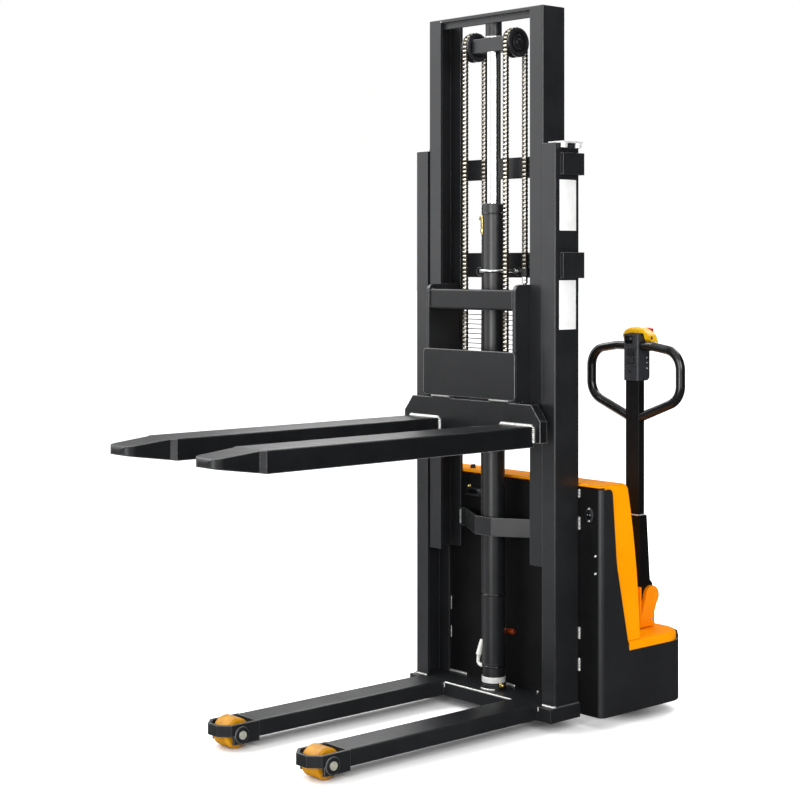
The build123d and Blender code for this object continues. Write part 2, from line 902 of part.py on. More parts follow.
lug_half = chain_width / 2 + wheel_flange / 2
with BuildPart() as carriage_mid_plate:
    with BuildSketch(across(-carriage_front)):
        with Locations((0, mid_plate_bottom + mid_plate_height / 2)):
            RectangleRounded(mid_plate_width, mid_plate_height, mid_plate_round)
    extrude(amount=mid_plate_thick)
    with BuildSketch(along(chain_x - lug_half)):
        span(
            -carriage_front,
            chain_front_y + chain_height / 2,
            front_chain_end - chain_lug_height,
            front_chain_end,
        )
    extrude(amount=2 * lug_half)
    mirror(about=middle)
keep(carriage_mid_plate, "carriage_mid_plate")

# Fork plate: cut corners, two welding tabs, a notch over each leg, and a brace behind its upper edge
fork_inside = fork_width / 2 - fork_wall
brace_top = fork_plate_top + brace_rise
with BuildPart() as fork_plate:
    with BuildSketch(across(fork_plate_back)) as plate_face:
        with BuildLine():
            half = fork_plate_width / 2
            Polyline(
                (-half, fork_plate_bottom),
                (half, fork_plate_bottom),
                (half, fork_plate_top - fork_plate_corner_z),
                (half - fork_plate_corner_x, fork_plate_top),
                (fork_plate_corner_x - half, fork_plate_top),
                (-half, fork_plate_top - fork_plate_corner_z),
                close=True,
            )
        make_face()
        for side in (-1, 1):
            with Locations((side * tab_x, fork_plate_top + tab_height / 2)):
                Trapezoid(tab_width, tab_height, 60)
            span(
                side * fork_x - fork_inside,
                side * fork_x + fork_inside,
                fork_plate_bottom,
                fork_top - fork_wall,
                mode=Mode.SUBTRACT,
            )
    extrude(amount=fork_plate_thick)
    with BuildSketch(across(fork_plate_back + brace_thick)):
        span(-plate_inner, plate_inner, brace_top - brace_height, brace_top)
    extrude(amount=brace_thick)
keep(fork_plate, "fork_plate")

# Forks: an upturned trough whose walls turn in at the knee to a solid, rounded nose
heel_y = -carriage_front
tip_y = heel_y - fork_length
knee_y = tip_y + fork_taper
with BuildPart() as left_fork:
    with BuildSketch(across(heel_y)) as fork_section:
        span(fork_x - fork_width / 2, fork_x + fork_width / 2, fork_bottom, fork_top)
        fillet(fork_section.vertices().sort_by(Axis.Y)[-2:], fork_edge)
    extrude(amount=fork_length)
    with BuildSketch(level(fork_bottom)) as fork_plan:
        with BuildLine():
            Polyline(
                (fork_x - fork_width / 2, heel_y),
                (fork_x + fork_width / 2, heel_y),
                (fork_x + fork_width / 2, knee_y),
                (fork_x + fork_width / 2 - fork_knee, knee_y - fork_knee),
                (fork_x + fork_tip_width / 2, tip_y),
                (fork_x - fork_tip_width / 2, tip_y),
                (fork_x - fork_width / 2 + fork_knee, knee_y - fork_knee),
                (fork_x - fork_width / 2, knee_y),
                close=True,
            )
        make_face()
        fillet(fork_plan.vertices().sort_by(Axis.Y)[:2], fork_tip_round)
    extrude(amount=fork_height, mode=Mode.INTERSECT)
    with BuildSketch(along(fork_x - fork_width)) as fork_side:
        with BuildLine():
            Polyline(
                (heel_y, fork_bottom),
                (heel_y, fork_top),
                (knee_y, fork_top),
                (tip_y, fork_top - fork_tip_drop),
                (tip_y, fork_bottom + fork_tip_lift),
                (knee_y, fork_bottom),
                close=True,
            )
        make_face()
        fillet(fork_side.vertices().sort_by(Axis.X)[:2], fork_nose_round)
    extrude(amount=2 * fork_width, mode=Mode.INTERSECT)
    with BuildSketch(level(fork_bottom)):
        span(fork_x - fork_inside, fork_x + fork_inside, knee_y, heel_y)
    extrude(amount=fork_height - fork_wall, mode=Mode.SUBTRACT)
keep(left_fork, "left_fork")

with BuildPart() as right_fork:
    mirror(left_fork.part, about=middle)
keep(right_fork, "right_fork")

# Body: a front panel on the back of the mast, side panels bent round its edges, and a rear skirt
side_start = body_half - front_bend
rear_start = body_half - rear_corner
with BuildPart() as front_panel:
    with BuildSketch(across(panel_back)):
        span(-side_start, side_start, skirt_bottom, panel_top)
    extrude(amount=sheet)
keep(front_panel, "front_panel")

with BuildPart() as left_side_panel:
    with BuildSketch(level(skirt_bottom)) as ring:
        span(-body_half, body_half, channel_depth, body_rear)
        fillet(ring.vertices().sort_by(Axis.Y)[:2], front_bend)
        fillet(ring.vertices().sort_by(Axis.Y)[-2:], rear_corner)
        offset(amount=-sheet, mode=Mode.SUBTRACT)
        span(-body_half, side_start, 0, panel_back_low, mode=Mode.SUBTRACT)
        span(-body_half, rear_start, panel_back_low, body_rear, mode=Mode.SUBTRACT)
    extrude(amount=panel_top - skirt_bottom)
    with BuildSketch(along(0)) as side_face:
        with BuildLine():
            Polyline(
                (channel_depth, skirt_bottom),
                (body_rear, skirt_bottom),
                (body_rear, skirt_top + rear_lip),
                (body_rear - rear_lip_run / 2, skirt_top + rear_lip),
                (body_rear - rear_lip_run, skirt_top),
                (panel_back_low, skirt_top),
                (panel_back_mid, panel_knee),
                (panel_back_high, panel_top),
                (channel_depth, panel_top),
                close=True,
            )
        make_face()
        fillet(side_face.vertices().filter_by_position(Axis.X, panel_back_mid, panel_back_mid), panel_sweep)
        fillet(side_face.vertices().filter_by_position(Axis.X, panel_back_high, panel_back_high), front_bend)
    extrude(amount=body_width, mode=Mode.INTERSECT)
keep(left_side_panel, "left_side_panel")

with BuildPart() as right_side_panel:
    mirror(left_side_panel.part, about=middle)
keep(right_side_panel, "right_side_panel")

with BuildPart() as rear_panel:
    with BuildSketch(across(body_rear)):
        span(-rear_start, rear_start, skirt_bottom, skirt_top + rear_lip)
    extrude(amount=sheet)
keep(rear_panel, "rear_panel")

# Deck inside the body, with the steering bore on the left and the caster's post on the right
deck_half = body_half - sheet
with BuildPart() as chassis_deck:
    with BuildSketch(level(deck_bottom)) as deck_plan:
        span(-deck_half, deck_half, panel_back, panel_back_low)
        fillet(deck_plan.vertices().sort_by(Axis.Y)[:2], front_bend - sheet)
        span(-deck_half + sheet, deck_half - sheet, panel_back_low, body_rear - rear_corner)
    extrude(amount=deck_thick)
    with BuildSketch(level(deck_bottom)):
        disc(caster_x, caster_y, caster_post)
    extrude(amount=caster_plate_z + caster_plate + caster_gap - deck_bottom)
    with BuildSketch(level(0)):
        disc(caster_x, caster_y, caster_stem + run_fit)
        disc(tiller_x, steer_y, neck_radius + run_fit)
    extrude(amount=2 * deck_top, mode=Mode.SUBTRACT)
keep(chassis_deck, "chassis_deck")

# Hood: a moulded shell, open at the front and below, with a lid lip over the front panel
hood_front = panel_back + front_bend
with BuildPart() as hood:
    with BuildSketch(along(-hood_half)) as hood_face:
        with BuildLine():
            Polyline(
                (hood_back_low, cover_top),
                (hood_front, cover_top),
                (hood_front, hood_top - hood_lip),
                (hood_lip_y, hood_top - hood_lip),
                (hood_lip_y, hood_top),
                (hood_back_top, hood_top),
            )
            ThreePointArc((hood_back_top, hood_top), (hood_back_mid, hood_waist), (hood_back_low, cover_top))
        make_face()
        fillet(hood_face.vertices().filter_by_position(Axis.X, hood_back_top, hood_back_top), hood_round)
    extrude(amount=2 * hood_half)
    for hood_side in (hood.faces().sort_by(Axis.X)[0], hood.faces().sort_by(Axis.X)[-1]):
        side_edges = hood_side.edges().filter_by(lambda edge: edge.center().Z > hood_waist - hood_round)
        fillet(side_edges.filter_by(lambda edge: edge.center().Y > truck_y + hood_front), hood_edge)
    with BuildSketch(along(cover_wall - hood_half)):
        with BuildLine():
            Polyline(
                (hood_back_low - cover_wall, cover_top),
                (hood_front, cover_top),
                (hood_front, hood_top - cover_wall),
                (hood_back_top - cover_wall, hood_top - cover_wall),
            )
            ThreePointArc(
                (hood_back_top - cover_wall, hood_top - cover_wall),
                (hood_back_mid - cover_wall, hood_waist),
                (hood_back_low - cover_wall, cover_top),
            )
        make_face()
    extrude(amount=2 * (hood_half - cover_wall), mode=Mode.SUBTRACT)
    with BuildSketch(level(hood_top)):
        disc(key_x, key_y, key_stem + run_fit)
    extrude(amount=-2 * cover_wall, mode=Mode.SUBTRACT)
keep(hood, "hood")

# Drive cover: a shallow moulded tray over the rear of the body, open below and at the front
cover_front = panel_back_low + cover_gap
cover_back = body_rear - cover_inset
with BuildPart() as drive_cover:
    with BuildSketch(level(skirt_top)) as cover_plan:
        span(-cover_half, cover_half, cover_front, cover_back)
        fillet(cover_plan.vertices().sort_by(Axis.Y)[-2:], rear_corner - cover_gap)
    extrude(amount=cover_top - skirt_top)
    crown = drive_cover.faces().sort_by(Axis.Z)[-1].edges()
    fillet(crown.filter_by(lambda edge: edge.center().Y > truck_y + cover_front + cover_gap), cover_edge)
    with BuildSketch(level(skirt_top)) as cover_inside:
        span(cover_wall - cover_half, cover_half - cover_wall, cover_front, cover_back - cover_wall)
        fillet(cover_inside.vertices().sort_by(Axis.Y)[-2:], rear_corner - cover_gap - cover_wall)
    extrude(amount=cover_top - skirt_top - cover_wall, mode=Mode.SUBTRACT)
    with BuildSketch(level(skirt_top)):
        disc(tiller_x, steer_y, neck_radius + neck_gap)
    extrude(amount=cover_top - skirt_top, mode=Mode.SUBTRACT)
keep(drive_cover, "drive_cover")

# Battery, hydraulic power unit and motor controller
inside_front = panel_back + inside_gap
with BuildPart() as battery:
    with BuildSketch(level(deck_top)):
        span(battery_x, battery_end, inside_front, inside_front + battery_depth)
    extrude(amount=battery_height)
    with BuildSketch(level(deck_top + battery_height)):
        for post_x in (battery_x + battery_depth / 2, battery_end - battery_depth / 2):
            disc(post_x, inside_front + battery_depth / 2, post_radius)
    extrude(amount=post_height)
keep(battery, "battery")

with BuildPart() as power_unit:
    with BuildSketch(level(deck_top)):
        span(tank_x, tank_x + tank_length, inside_front, inside_front + tank_depth)
    extrude(amount=tank_height)
    with BuildSketch(along(tank_x + tank_length)):
        disc(inside_front + tank_depth / 2, deck_top + tank_height / 2, pump_radius)
    extrude(amount=pump_length)
keep(power_unit, "power_unit")

with BuildPart() as controller:
    with BuildSketch(across(panel_back + controller_depth)):
        span(controller_x, controller_x + controller_width, controller_z, controller_z + controller_height)
    extrude(amount=controller_depth)
keep(controller, "controller")

# Steering head: a neck through the deck, a stadium base plate, and two webbed ears with the tiller's pin
with BuildPart() as steer_head:
    with BuildSketch(level(slew_top)):
        disc(tiller_x, steer_y, neck_radius)
    extrude(amount=bracket_z - slew_top)
    with BuildSketch(level(bracket_z)):
        disc(tiller_x, steer_y, bracket_half)
        span(tiller_x - bracket_half, tiller_x + bracket_half, steer_y, ear_rear)
    extrude(amount=bracket_base)
    for ear_x in (tiller_x - bracket_half, tiller_x + bracket_half - ear_thick):
        with BuildSketch(along(ear_x)):
            Polygon(
                (ear_front, ear_bottom),
                (ear_rear, ear_bottom),
                (ear_rear, ear_waist),
                (pivot_y + ear_radius, pivot_z),
                (pivot_y - ear_radius, pivot_z),
                align=None,
            )
            disc(pivot_y, pivot_z, ear_radius)
        extrude(amount=ear_thick)
    with BuildSketch(across(ear_front + web_depth)):
        span(tiller_x - bracket_half, tiller_x + bracket_half, ear_bottom, web_top)
    extrude(amount=web_depth)
    with BuildSketch(along(tiller_x - bracket_half)):
        disc(pivot_y, pivot_z, pivot_radius)
    extrude(amount=2 * bracket_half)
keep(steer_head, "steer_head")

# Drive unit under the deck: slewing plate, gear case beside the wheel, motor and wheel shaft
wheel_side = tiller_x + drive_width / 2 + drive_clear
with BuildPart() as drive_unit:
    with BuildSketch(level(slew_bottom)):
        disc(tiller_x, steer_y, slew_radius)
    extrude(amount=slew_thick)
    with BuildSketch(along(wheel_side)):
        disc(steer_y, drive_radius, gear_half)
        span(steer_y - gear_half, steer_y + gear_half, drive_radius, slew_bottom)
    extrude(amount=gear_width)
    with BuildSketch(along(wheel_side + gear_width)):
        disc(steer_y, drive_radius, motor_radius)
    extrude(amount=motor_length)
    with BuildSketch(along(tiller_x - drive_width / 2)):
        disc(steer_y, drive_radius, drive_axle)
    extrude(amount=drive_width + drive_clear)
keep(drive_unit, "drive_unit")


# Drive wheel: a tread with broken edges and a dished disc on both faces
with BuildPart() as drive_wheel:
    with BuildSketch(radial(tiller_x, steer_y, drive_radius)) as drive_section:
        span(-drive_width / 2, drive_width / 2, drive_axle + run_fit, drive_radius)
        chamfer(drive_section.vertices().sort_by(Axis.Y)[-2:], drive_edge)
        for face_x in (-drive_width / 2, drive_width / 2):
            span(face_x * 0.6, face_x, drive_hub, drive_rim, mode=Mode.SUBTRACT)
    revolve(axis=crosswise(steer_y, drive_radius))
keep(drive_wheel, "drive_wheel")

# Tiller arm: a booted knuckle on the pin, a tapered sleeve, and a flat tube up to the control head
knuckle_half = bracket_half - ear_thick - knuckle_gap
with BuildPart() as tiller_arm:
    with BuildSketch(along(tiller_x - sleeve_width / 2)):
        Polygon(
            (sleeve_front, sleeve_bottom),
            (sleeve_back_low, sleeve_bottom),
            (sleeve_back_top, sleeve_top),
            (sleeve_front, sleeve_top),
            align=None,
        )
    extrude(amount=sleeve_width)
    with BuildSketch(along(tiller_x - knuckle_half)):
        disc(pivot_y, pivot_z, knuckle_radius)
        disc(sleeve_front + knuckle_radius, sleeve_bottom, knuckle_radius)
        disc(boot_y, boot_z, boot_radius)
        make_hull()
    extrude(amount=2 * knuckle_half)
    with BuildSketch(level(sleeve_bottom)) as arm_section:
        with Locations((tiller_x, arm_y)):
            RectangleRounded(arm_width, arm_depth, arm_wall)
    extrude(amount=head_bottom - sleeve_bottom)
    with BuildSketch(level(sleeve_top)):
        with Locations((tiller_x, arm_y)):
            Rectangle(arm_width - 2 * arm_wall, arm_depth - 2 * arm_wall)
    extrude(amount=head_bottom - sleeve_top, mode=Mode.SUBTRACT)
    with BuildSketch(along(tiller_x - knuckle_half)):
        disc(pivot_y, pivot_z, pivot_radius + run_fit)
    extrude(amount=2 * knuckle_half, mode=Mode.SUBTRACT)
keep(tiller_arm, "tiller_arm")

# Handle: a bent tube each side, from the head's side out, down, and in to the arm
with BuildPart() as tiller_handle:
    with BuildLine(across(arm_y)) as grip_line:
        FilletPolyline(
            (tiller_x + grip_inside, grip_top),
            (tiller_x + grip_straight, grip_top),
            (tiller_x + grip_half, grip_shoulder),
            (tiller_x + grip_half, grip_knee),
            (tiller_x + grip_inside, grip_root),
            radius=(grip_bend, grip_bend, grip_bend),
        )
    with BuildSketch(along(tiller_x + grip_inside)):
        disc(arm_y, grip_top, grip_radius)
    sweep()
    with BuildSketch(level(head_bottom)):
        span(tiller_x, tiller_x + head_width / 2, head_front, head_back)
    extrude(amount=head_top - head_bottom, mode=Mode.SUBTRACT)
    with BuildSketch(level(sleeve_top)):
        span(tiller_x, tiller_x + arm_width / 2, head_front, head_back)
    extrude(amount=head_bottom - sleeve_top, mode=Mode.SUBTRACT)
    mirror(about=along(tiller_x))
keep(tiller_handle, "tiller_handle")

# Control head: a moulded block with a saddle, drum and pins for the throttle, a rocker pocket and the heel
with BuildPart() as control_head:
    with BuildSketch(along(tiller_x - head_width / 2)):
        Polygon(
            (head_front, head_bottom),
            (head_back - head_slope, head_bottom),
            (head_back, head_bottom + head_slope),
            (head_back, head_top),
            (head_front, head_top),
            align=None,
        )
    extrude(amount=head_width)
    fillet(control_head.faces().sort_by(Axis.Y)[0].edges().filter_by(Axis.Z), head_edge)
    with BuildSketch(along(tiller_x - head_width / 2)):
        span(saddle_front, head_back, head_top - saddle_drop, head_top)
    extrude(amount=head_width, mode=Mode.SUBTRACT)
    with BuildSketch(along(tiller_x - head_width / 2)):
        disc(throttle_y, throttle_z, arch_bottom - throttle_z - throttle_drum_gap)
    extrude(amount=head_width)
    with BuildSketch(level(heel_bottom)) as heel_plan:
        span(tiller_x - heel_width / 2, tiller_x + heel_width / 2, head_back, heel_back)
        fillet(heel_plan.vertices().sort_by(Axis.Y)[-2:], head_edge)
    extrude(amount=heel_top - heel_bottom)
    with BuildSketch(along(tiller_x - throttle_half)):
        disc(throttle_y, throttle_z, throttle_pin)
    extrude(amount=2 * throttle_half)
    with BuildSketch(level(heel_top)):
        disc(tiller_x, (belly_front + belly_back) / 2, belly_stem + run_fit)
    extrude(amount=-belly_bore, mode=Mode.SUBTRACT)
    with BuildSketch(across(head_front)):
        with Locations((tiller_x, rocker_z)):
            Rectangle(rocker_width + 2 * rocker_gap, rocker_height + 2 * rocker_gap)
    extrude(amount=-rocker_pocket, mode=Mode.SUBTRACT)
    with BuildSketch(along(tiller_x - head_width / 2 + head_edge)):
        disc(head_front + rocker_pin_depth, rocker_z, rocker_pin)
    extrude(amount=head_width - 2 * head_edge)
keep(control_head, "control_head")

# Butterfly throttle: an arched yoke over the head, whose wings lean back beside it
wing_inside = head_width / 2 + throttle_gap
with BuildPart() as butterfly:
    with BuildSketch(along(tiller_x - throttle_half)):
        disc(throttle_front + wing_round, arch_top - wing_round, wing_round)
        disc(throttle_back - wing_round, arch_top - wing_round, wing_round)
        disc(throttle_y, throttle_z, wing_round)
        disc(wing_back - wing_round, wing_bottom + wing_round, wing_round)
        make_hull()
    extrude(amount=2 * throttle_half)
    with BuildSketch(across(wing_back)) as yoke:
        with BuildLine():
            Polyline(
                (tiller_x - throttle_half, arch_top - throttle_fall),
                (tiller_x - throttle_half, wing_bottom),
                (tiller_x + throttle_half, wing_bottom),
                (tiller_x + throttle_half, arch_top - throttle_fall),
            )
            ThreePointArc(
                (tiller_x + throttle_half, arch_top - throttle_fall),
                (tiller_x, arch_top),
                (tiller_x - throttle_half, arch_top - throttle_fall),
            )
        make_face()
        span(tiller_x - wing_inside, tiller_x + wing_inside, wing_bottom, arch_bottom, mode=Mode.SUBTRACT)
    extrude(amount=wing_back - head_front, mode=Mode.INTERSECT)
    with BuildSketch(along(tiller_x - throttle_half)):
        disc(throttle_y, throttle_z, throttle_pin + run_fit)
    extrude(amount=2 * throttle_half, mode=Mode.SUBTRACT)
keep(butterfly, "butterfly")

# Belly button: a cushion on a stem that slides into the heel
with BuildPart() as belly_button:
    with BuildSketch(level(heel_top + belly_gap)):
        with Locations((tiller_x, (belly_front + belly_back) / 2)):
            RectangleRounded(2 * belly_half, belly_back - belly_front, belly_round)
    extrude(amount=belly_height)
    chamfer(belly_button.faces().sort_by(Axis.Z)[-1].edges(), belly_crown)
    with BuildSketch(level(heel_top + belly_gap)):
        disc(tiller_x, (belly_front + belly_back) / 2, belly_stem)
    extrude(amount=-belly_gap - belly_inside)
keep(belly_button, "belly_button")

# Lift rocker in the front of the head, on a pin across its pocket
with BuildPart() as lift_rocker:
    with BuildSketch(along(tiller_x - rocker_width / 2)):
        Polygon(
            (head_front + rocker_depth - rocker_proud, rocker_z - rocker_height / 2),
            (head_front + rocker_depth - rocker_proud, rocker_z + rocker_height / 2),
            (head_front - rocker_proud, rocker_z + rocker_height / 2),
            (head_front - rocker_proud + rocker_dip, rocker_z),
            (head_front - rocker_proud, rocker_z - rocker_height / 2),
            align=None,
        )
        disc(head_front + rocker_pin_depth, rocker_z, rocker_pin + run_fit, mode=Mode.SUBTRACT)
    extrude(amount=rocker_width)
keep(lift_rocker, "lift_rocker")

# Key in the hood's top: a stem through the skin, a disc and a grip
with BuildPart() as key:
    with BuildSketch(level(hood_top + key_gap)):
        disc(key_x, key_y, key_stem)
    extrude(amount=-2 * cover_wall)
    with BuildSketch(level(hood_top + key_gap)):
        disc(key_x, key_y, key_radius)
    extrude(amount=key_disc)
    with BuildSketch(level(hood_top + key_gap + key_disc)):
        span(key_x - key_blade / 2, key_x + key_blade / 2, key_y - key_radius, key_y + key_radius)
    extrude(amount=key_blade_height)
keep(key, "key")

# Caster: a stem in the deck's post, a plate, two raked cheeks and an axle
caster_wheel_y = caster_y + caster_trail
caster_half = caster_width / 2 + caster_gap
with BuildPart() as caster_fork:
    with BuildSketch(level(caster_plate_z + caster_plate)):
        disc(caster_x, caster_y, caster_stem)
    extrude(amount=deck_top - caster_plate_z - caster_plate)
    with BuildSketch(level(caster_plate_z)):
        span(
            caster_x - caster_half - caster_cheek,
            caster_x + caster_half + caster_cheek,
            caster_y - caster_post,
            caster_y + caster_post,
        )
    extrude(amount=caster_plate)
    for cheek in (caster_x - caster_half - caster_cheek, caster_x + caster_half):
        with BuildSketch(along(cheek)):
            disc(caster_wheel_y, caster_radius, 2 * caster_axle)
            span(
                caster_y - caster_post,
                caster_y + caster_post,
                caster_plate_z,
                caster_plate_z + caster_plate,
            )
            make_hull()
        extrude(amount=caster_cheek)
    with BuildSketch(along(caster_x - caster_half)):
        disc(caster_wheel_y, caster_radius, caster_axle)
    extrude(amount=2 * caster_half)
keep(caster_fork, "caster_fork")

with BuildPart() as caster_wheel:
    with BuildSketch(radial(caster_x, caster_wheel_y, caster_radius)) as caster_section:
        span(-caster_width / 2, caster_width / 2, caster_axle + run_fit, caster_radius)
        chamfer(caster_section.vertices().sort_by(Axis.Y)[-2:], caster_edge)
    revolve(axis=crosswise(caster_wheel_y, caster_radius))
keep(caster_wheel, "caster_wheel")
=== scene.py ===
import json
import math
import random

import bmesh
import bpy
from mathutils import Matrix, Vector


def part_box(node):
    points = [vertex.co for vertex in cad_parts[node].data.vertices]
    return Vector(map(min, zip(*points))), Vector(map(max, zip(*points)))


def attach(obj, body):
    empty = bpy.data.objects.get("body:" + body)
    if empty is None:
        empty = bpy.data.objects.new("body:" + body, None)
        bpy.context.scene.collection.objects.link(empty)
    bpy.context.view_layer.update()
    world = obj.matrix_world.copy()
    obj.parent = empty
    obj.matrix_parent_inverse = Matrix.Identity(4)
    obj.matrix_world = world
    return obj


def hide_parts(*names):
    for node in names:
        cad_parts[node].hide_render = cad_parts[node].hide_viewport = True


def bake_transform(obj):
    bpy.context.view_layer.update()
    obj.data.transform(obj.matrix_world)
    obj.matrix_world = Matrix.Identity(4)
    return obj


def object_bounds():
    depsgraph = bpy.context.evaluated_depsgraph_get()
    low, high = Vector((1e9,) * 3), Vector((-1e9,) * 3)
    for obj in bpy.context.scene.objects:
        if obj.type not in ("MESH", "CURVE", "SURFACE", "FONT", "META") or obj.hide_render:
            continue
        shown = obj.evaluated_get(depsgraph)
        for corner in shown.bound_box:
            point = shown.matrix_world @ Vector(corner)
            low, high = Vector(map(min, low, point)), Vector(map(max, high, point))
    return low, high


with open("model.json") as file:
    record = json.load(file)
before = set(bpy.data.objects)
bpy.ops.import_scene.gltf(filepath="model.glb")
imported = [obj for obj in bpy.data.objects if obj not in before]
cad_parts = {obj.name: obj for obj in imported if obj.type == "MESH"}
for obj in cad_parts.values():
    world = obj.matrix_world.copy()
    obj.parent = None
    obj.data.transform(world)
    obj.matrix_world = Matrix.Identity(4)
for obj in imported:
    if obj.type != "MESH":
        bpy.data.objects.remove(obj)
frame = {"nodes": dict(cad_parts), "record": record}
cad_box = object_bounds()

# Electric stacker. Places are given in truck millimetres: x left from the truck's middle, y back from
# the front of the mast, z up from the floor.
near_channel, far_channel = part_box("left_outer_channel"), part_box("right_outer_channel")
truck_x = (near_channel[1].x + far_channel[0].x) / 2
truck_y = near_channel[0].y
outer_half = (near_channel[1].x - truck_x) * 1000
across, back, up = Vector((1, 0, 0)), Vector((0, 1, 0)), Vector((0, 0, 1))
shake = random.Random(7)


def at(x, y, z):
    """A point of the truck in the frame's metres."""
    return Vector((truck_x + x / 1000, truck_y + y / 1000, z / 1000))


def truck(corner):
    """A corner of the frame in truck millimetres."""
    return Vector(((corner.x - truck_x) * 1000, (corner.y - truck_y) * 1000, corner.z * 1000))


def low(node):
    """Lowest corner of a CAD node in truck millimetres."""
    return truck(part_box(node)[0])


def high(node):
    """Highest corner of a CAD node in truck millimetres."""
    return truck(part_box(node)[1])


def show(name, data):
    """Puts a mesh, curve, lamp or camera into the scene."""
    shown = bpy.data.objects.new(name, data)
    bpy.context.scene.collection.objects.link(shown)
    return shown


# Finishes


def linear(hex_colour):
    """sRGB hex to the linear colour that a shader takes."""
    channels = [int(hex_colour[i : i + 2], 16) / 255 for i in (1, 3, 5)]
    return [c / 12.92 if c <= 0.04045 else ((c + 0.055) / 1.055) ** 2.4 for c in channels] + [1.0]


def add(tree, kind, inputs=None, **settings):
    """Adds a node with its settings; an input is a value, or another node's output to link."""
    node = tree.nodes.new(kind)
    for name, value in settings.items():
        setattr(node, name, value)
    for socket, value in (inputs or {}).items():
        if isinstance(value, bpy.types.NodeSocket):
            tree.links.new(value, node.inputs[socket])
        else:
            node.inputs[socket].default_value = value
    return node


def blank_finish(name):
    """A material whose nodes are still to be added."""
    finish = bpy.data.materials.new(name)
    finish.use_nodes = True
    finish.node_tree.nodes.clear()
    return finish


def surface(
    name, colours, patch, rough, grain, depth, round_edge=0.0, edge_highlight=0.0, stretch=(1, 1, 1), **sockets
):
    """A finish whose colour drifts over patches, whose gloss varies, and whose relief is a fine grain.

    patch, grain, depth and round_edge are sizes in millimetres; depth is the relief's height. The share after
    round_edge is how far a painted highlight lightens the coat towards pale grey along its rounded edges.
    """
    finish = blank_finish(name)
    tree = finish.node_tree
    spot = add(tree, "ShaderNodeTexCoord").outputs["Object"]
    spot = add(tree, "ShaderNodeMapping", {"Vector": spot, "Scale": stretch}).outputs["Vector"]
    drift = add(
        tree,
        "ShaderNodeTexNoise",
        {"Vector": spot, "Scale": 1000 / patch, "Detail": 4.0, "Roughness": 0.6},
    )
    ramp = add(tree, "ShaderNodeValToRGB", {"Fac": drift.outputs["Fac"]})
    for element, position, colour in zip(ramp.color_ramp.elements, (0.3, 0.7), colours):
        element.position = position
        element.color = linear(colour)
    wear = add(tree, "ShaderNodeTexNoise", {"Vector": spot, "Scale": 3000 / patch, "Detail": 5.0})
    dull, shiny = rough[1], rough[0]
    gloss = add(
        tree,
        "ShaderNodeMapRange",
        {"Value": wear.outputs["Fac"], "From Min": 0.3, "From Max": 0.7, "To Min": shiny, "To Max": dull},
    )
    relief = add(tree, "ShaderNodeTexNoise", {"Vector": spot, "Scale": 1000 / grain, "Detail": 2.0})
    bump = add(
        tree,
        "ShaderNodeBump",
        {"Height": relief.outputs["Fac"], "Strength": 0.6, "Distance": depth / 1000},
    )
    tint = ramp.outputs["Color"]
    if round_edge:
        edge = add(tree, "ShaderNodeBevel", {"Radius": round_edge / 1000}, samples=6)
        tree.links.new(edge.outputs["Normal"], bump.inputs["Normal"])
    # Painted highlight: the colour turns towards pale grey where the rounded-edge normal leans from the
    # face's own, so every rounded edge shows a pale band.
    if edge_highlight:
        flat = add(tree, "ShaderNodeNewGeometry").outputs["Normal"]
        lean = add(
            tree,
            "ShaderNodeVectorMath",
            {0: edge.outputs["Normal"], 1: flat},
            operation="DOT_PRODUCT",
        ).outputs["Value"]
        highlight_share = add(
            tree,
            "ShaderNodeMapRange",
            {"Value": lean, "From Min": 0.97, "From Max": 0.76, "To Min": 0.0, "To Max": edge_highlight},
        )
        pale = {0: highlight_share.outputs["Result"], 6: tint, 7: linear("#d4d5d6")}
        tint = add(tree, "ShaderNodeMix", pale, data_type="RGBA").outputs[2]
    shader = add(
        tree,
        "ShaderNodeBsdfPrincipled",
        {"Base Color": tint, "Roughness": gloss.outputs["Result"], "Normal": bump.outputs["Normal"]},
    )
    for socket, value in sockets.items():
        shader.inputs[socket.replace("_", " ")].default_value = value
    add(tree, "ShaderNodeOutputMaterial", {"Surface": shader.outputs["BSDF"]})
    return finish


# Powder coat on steel, baked: near black, half gloss, with a faint orange peel about 3 mm across, and a faint
# painted highlight along its rounded edges.
steel_blacks = ("#191a1c", "#212224")
powder_coat = surface(
    "black_powder_coat", steel_blacks, 140, (0.3, 0.38), 3.0, 0.01, 3.0, 0.1, Specular_IOR_Level=0.42
)
# The same coat on the fork carriage, darker and laid on thick, with a strong painted highlight along its
# rounded edges.
carriage_blacks = ("#101113", "#17181a")
carriage_coat = surface(
    "black_carriage_coat", carriage_blacks, 120, (0.3, 0.38), 3.0, 0.01, 5.0, 0.5, Specular_IOR_Level=0.26
)
# And on the legs and the inner strap, with a painted highlight along their rounded edges.
leg_coat = surface(
    "black_leg_coat", steel_blacks, 140, (0.3, 0.38), 3.0, 0.01, 3.6, 0.3, Specular_IOR_Level=0.42
)
# Powder coat on the body's sheet, a little flatter, on bends that the press left round.
sheet_coat = surface("black_sheet_coat", ("#1b1c1e", "#232426"), 160, (0.34, 0.42), 3.0, 0.012, 2.0)
# Flat coat on the front panel, the deck and the tiller's arm, which hardly shines.
flat_coat = surface(
    "black_flat_coat", ("#0b0b0c", "#121213"), 110, (0.42, 0.52), 2.5, 0.015, 1.2, Specular_IOR_Level=0.14
)
# Sprayed enamel on the cylinder: smoother than the powder coat, with long clean highlights.
gloss_coat = surface("black_gloss_enamel", ("#161719", "#1d1e20"), 150, (0.31, 0.36), 4.0, 0.002, 1.0)
# Enamel on the tiller's handle and the cylinder's rings: the glossiest black, with sharp highlights.
handle_coat = surface("black_handle_enamel", ("#0f0f10", "#161617"), 60, (0.17, 0.24), 4.0, 0.002, 1.0)
# Moulded ABS hood, through-dyed amber orange, satin with a fine moulded texture.
amber_shell = surface(
    "amber_moulded_shell", ("#fb9800", "#ffa004"), 180, (0.5, 0.6), 2.5, 0.012, 3.0, Specular_IOR_Level=0.015
)
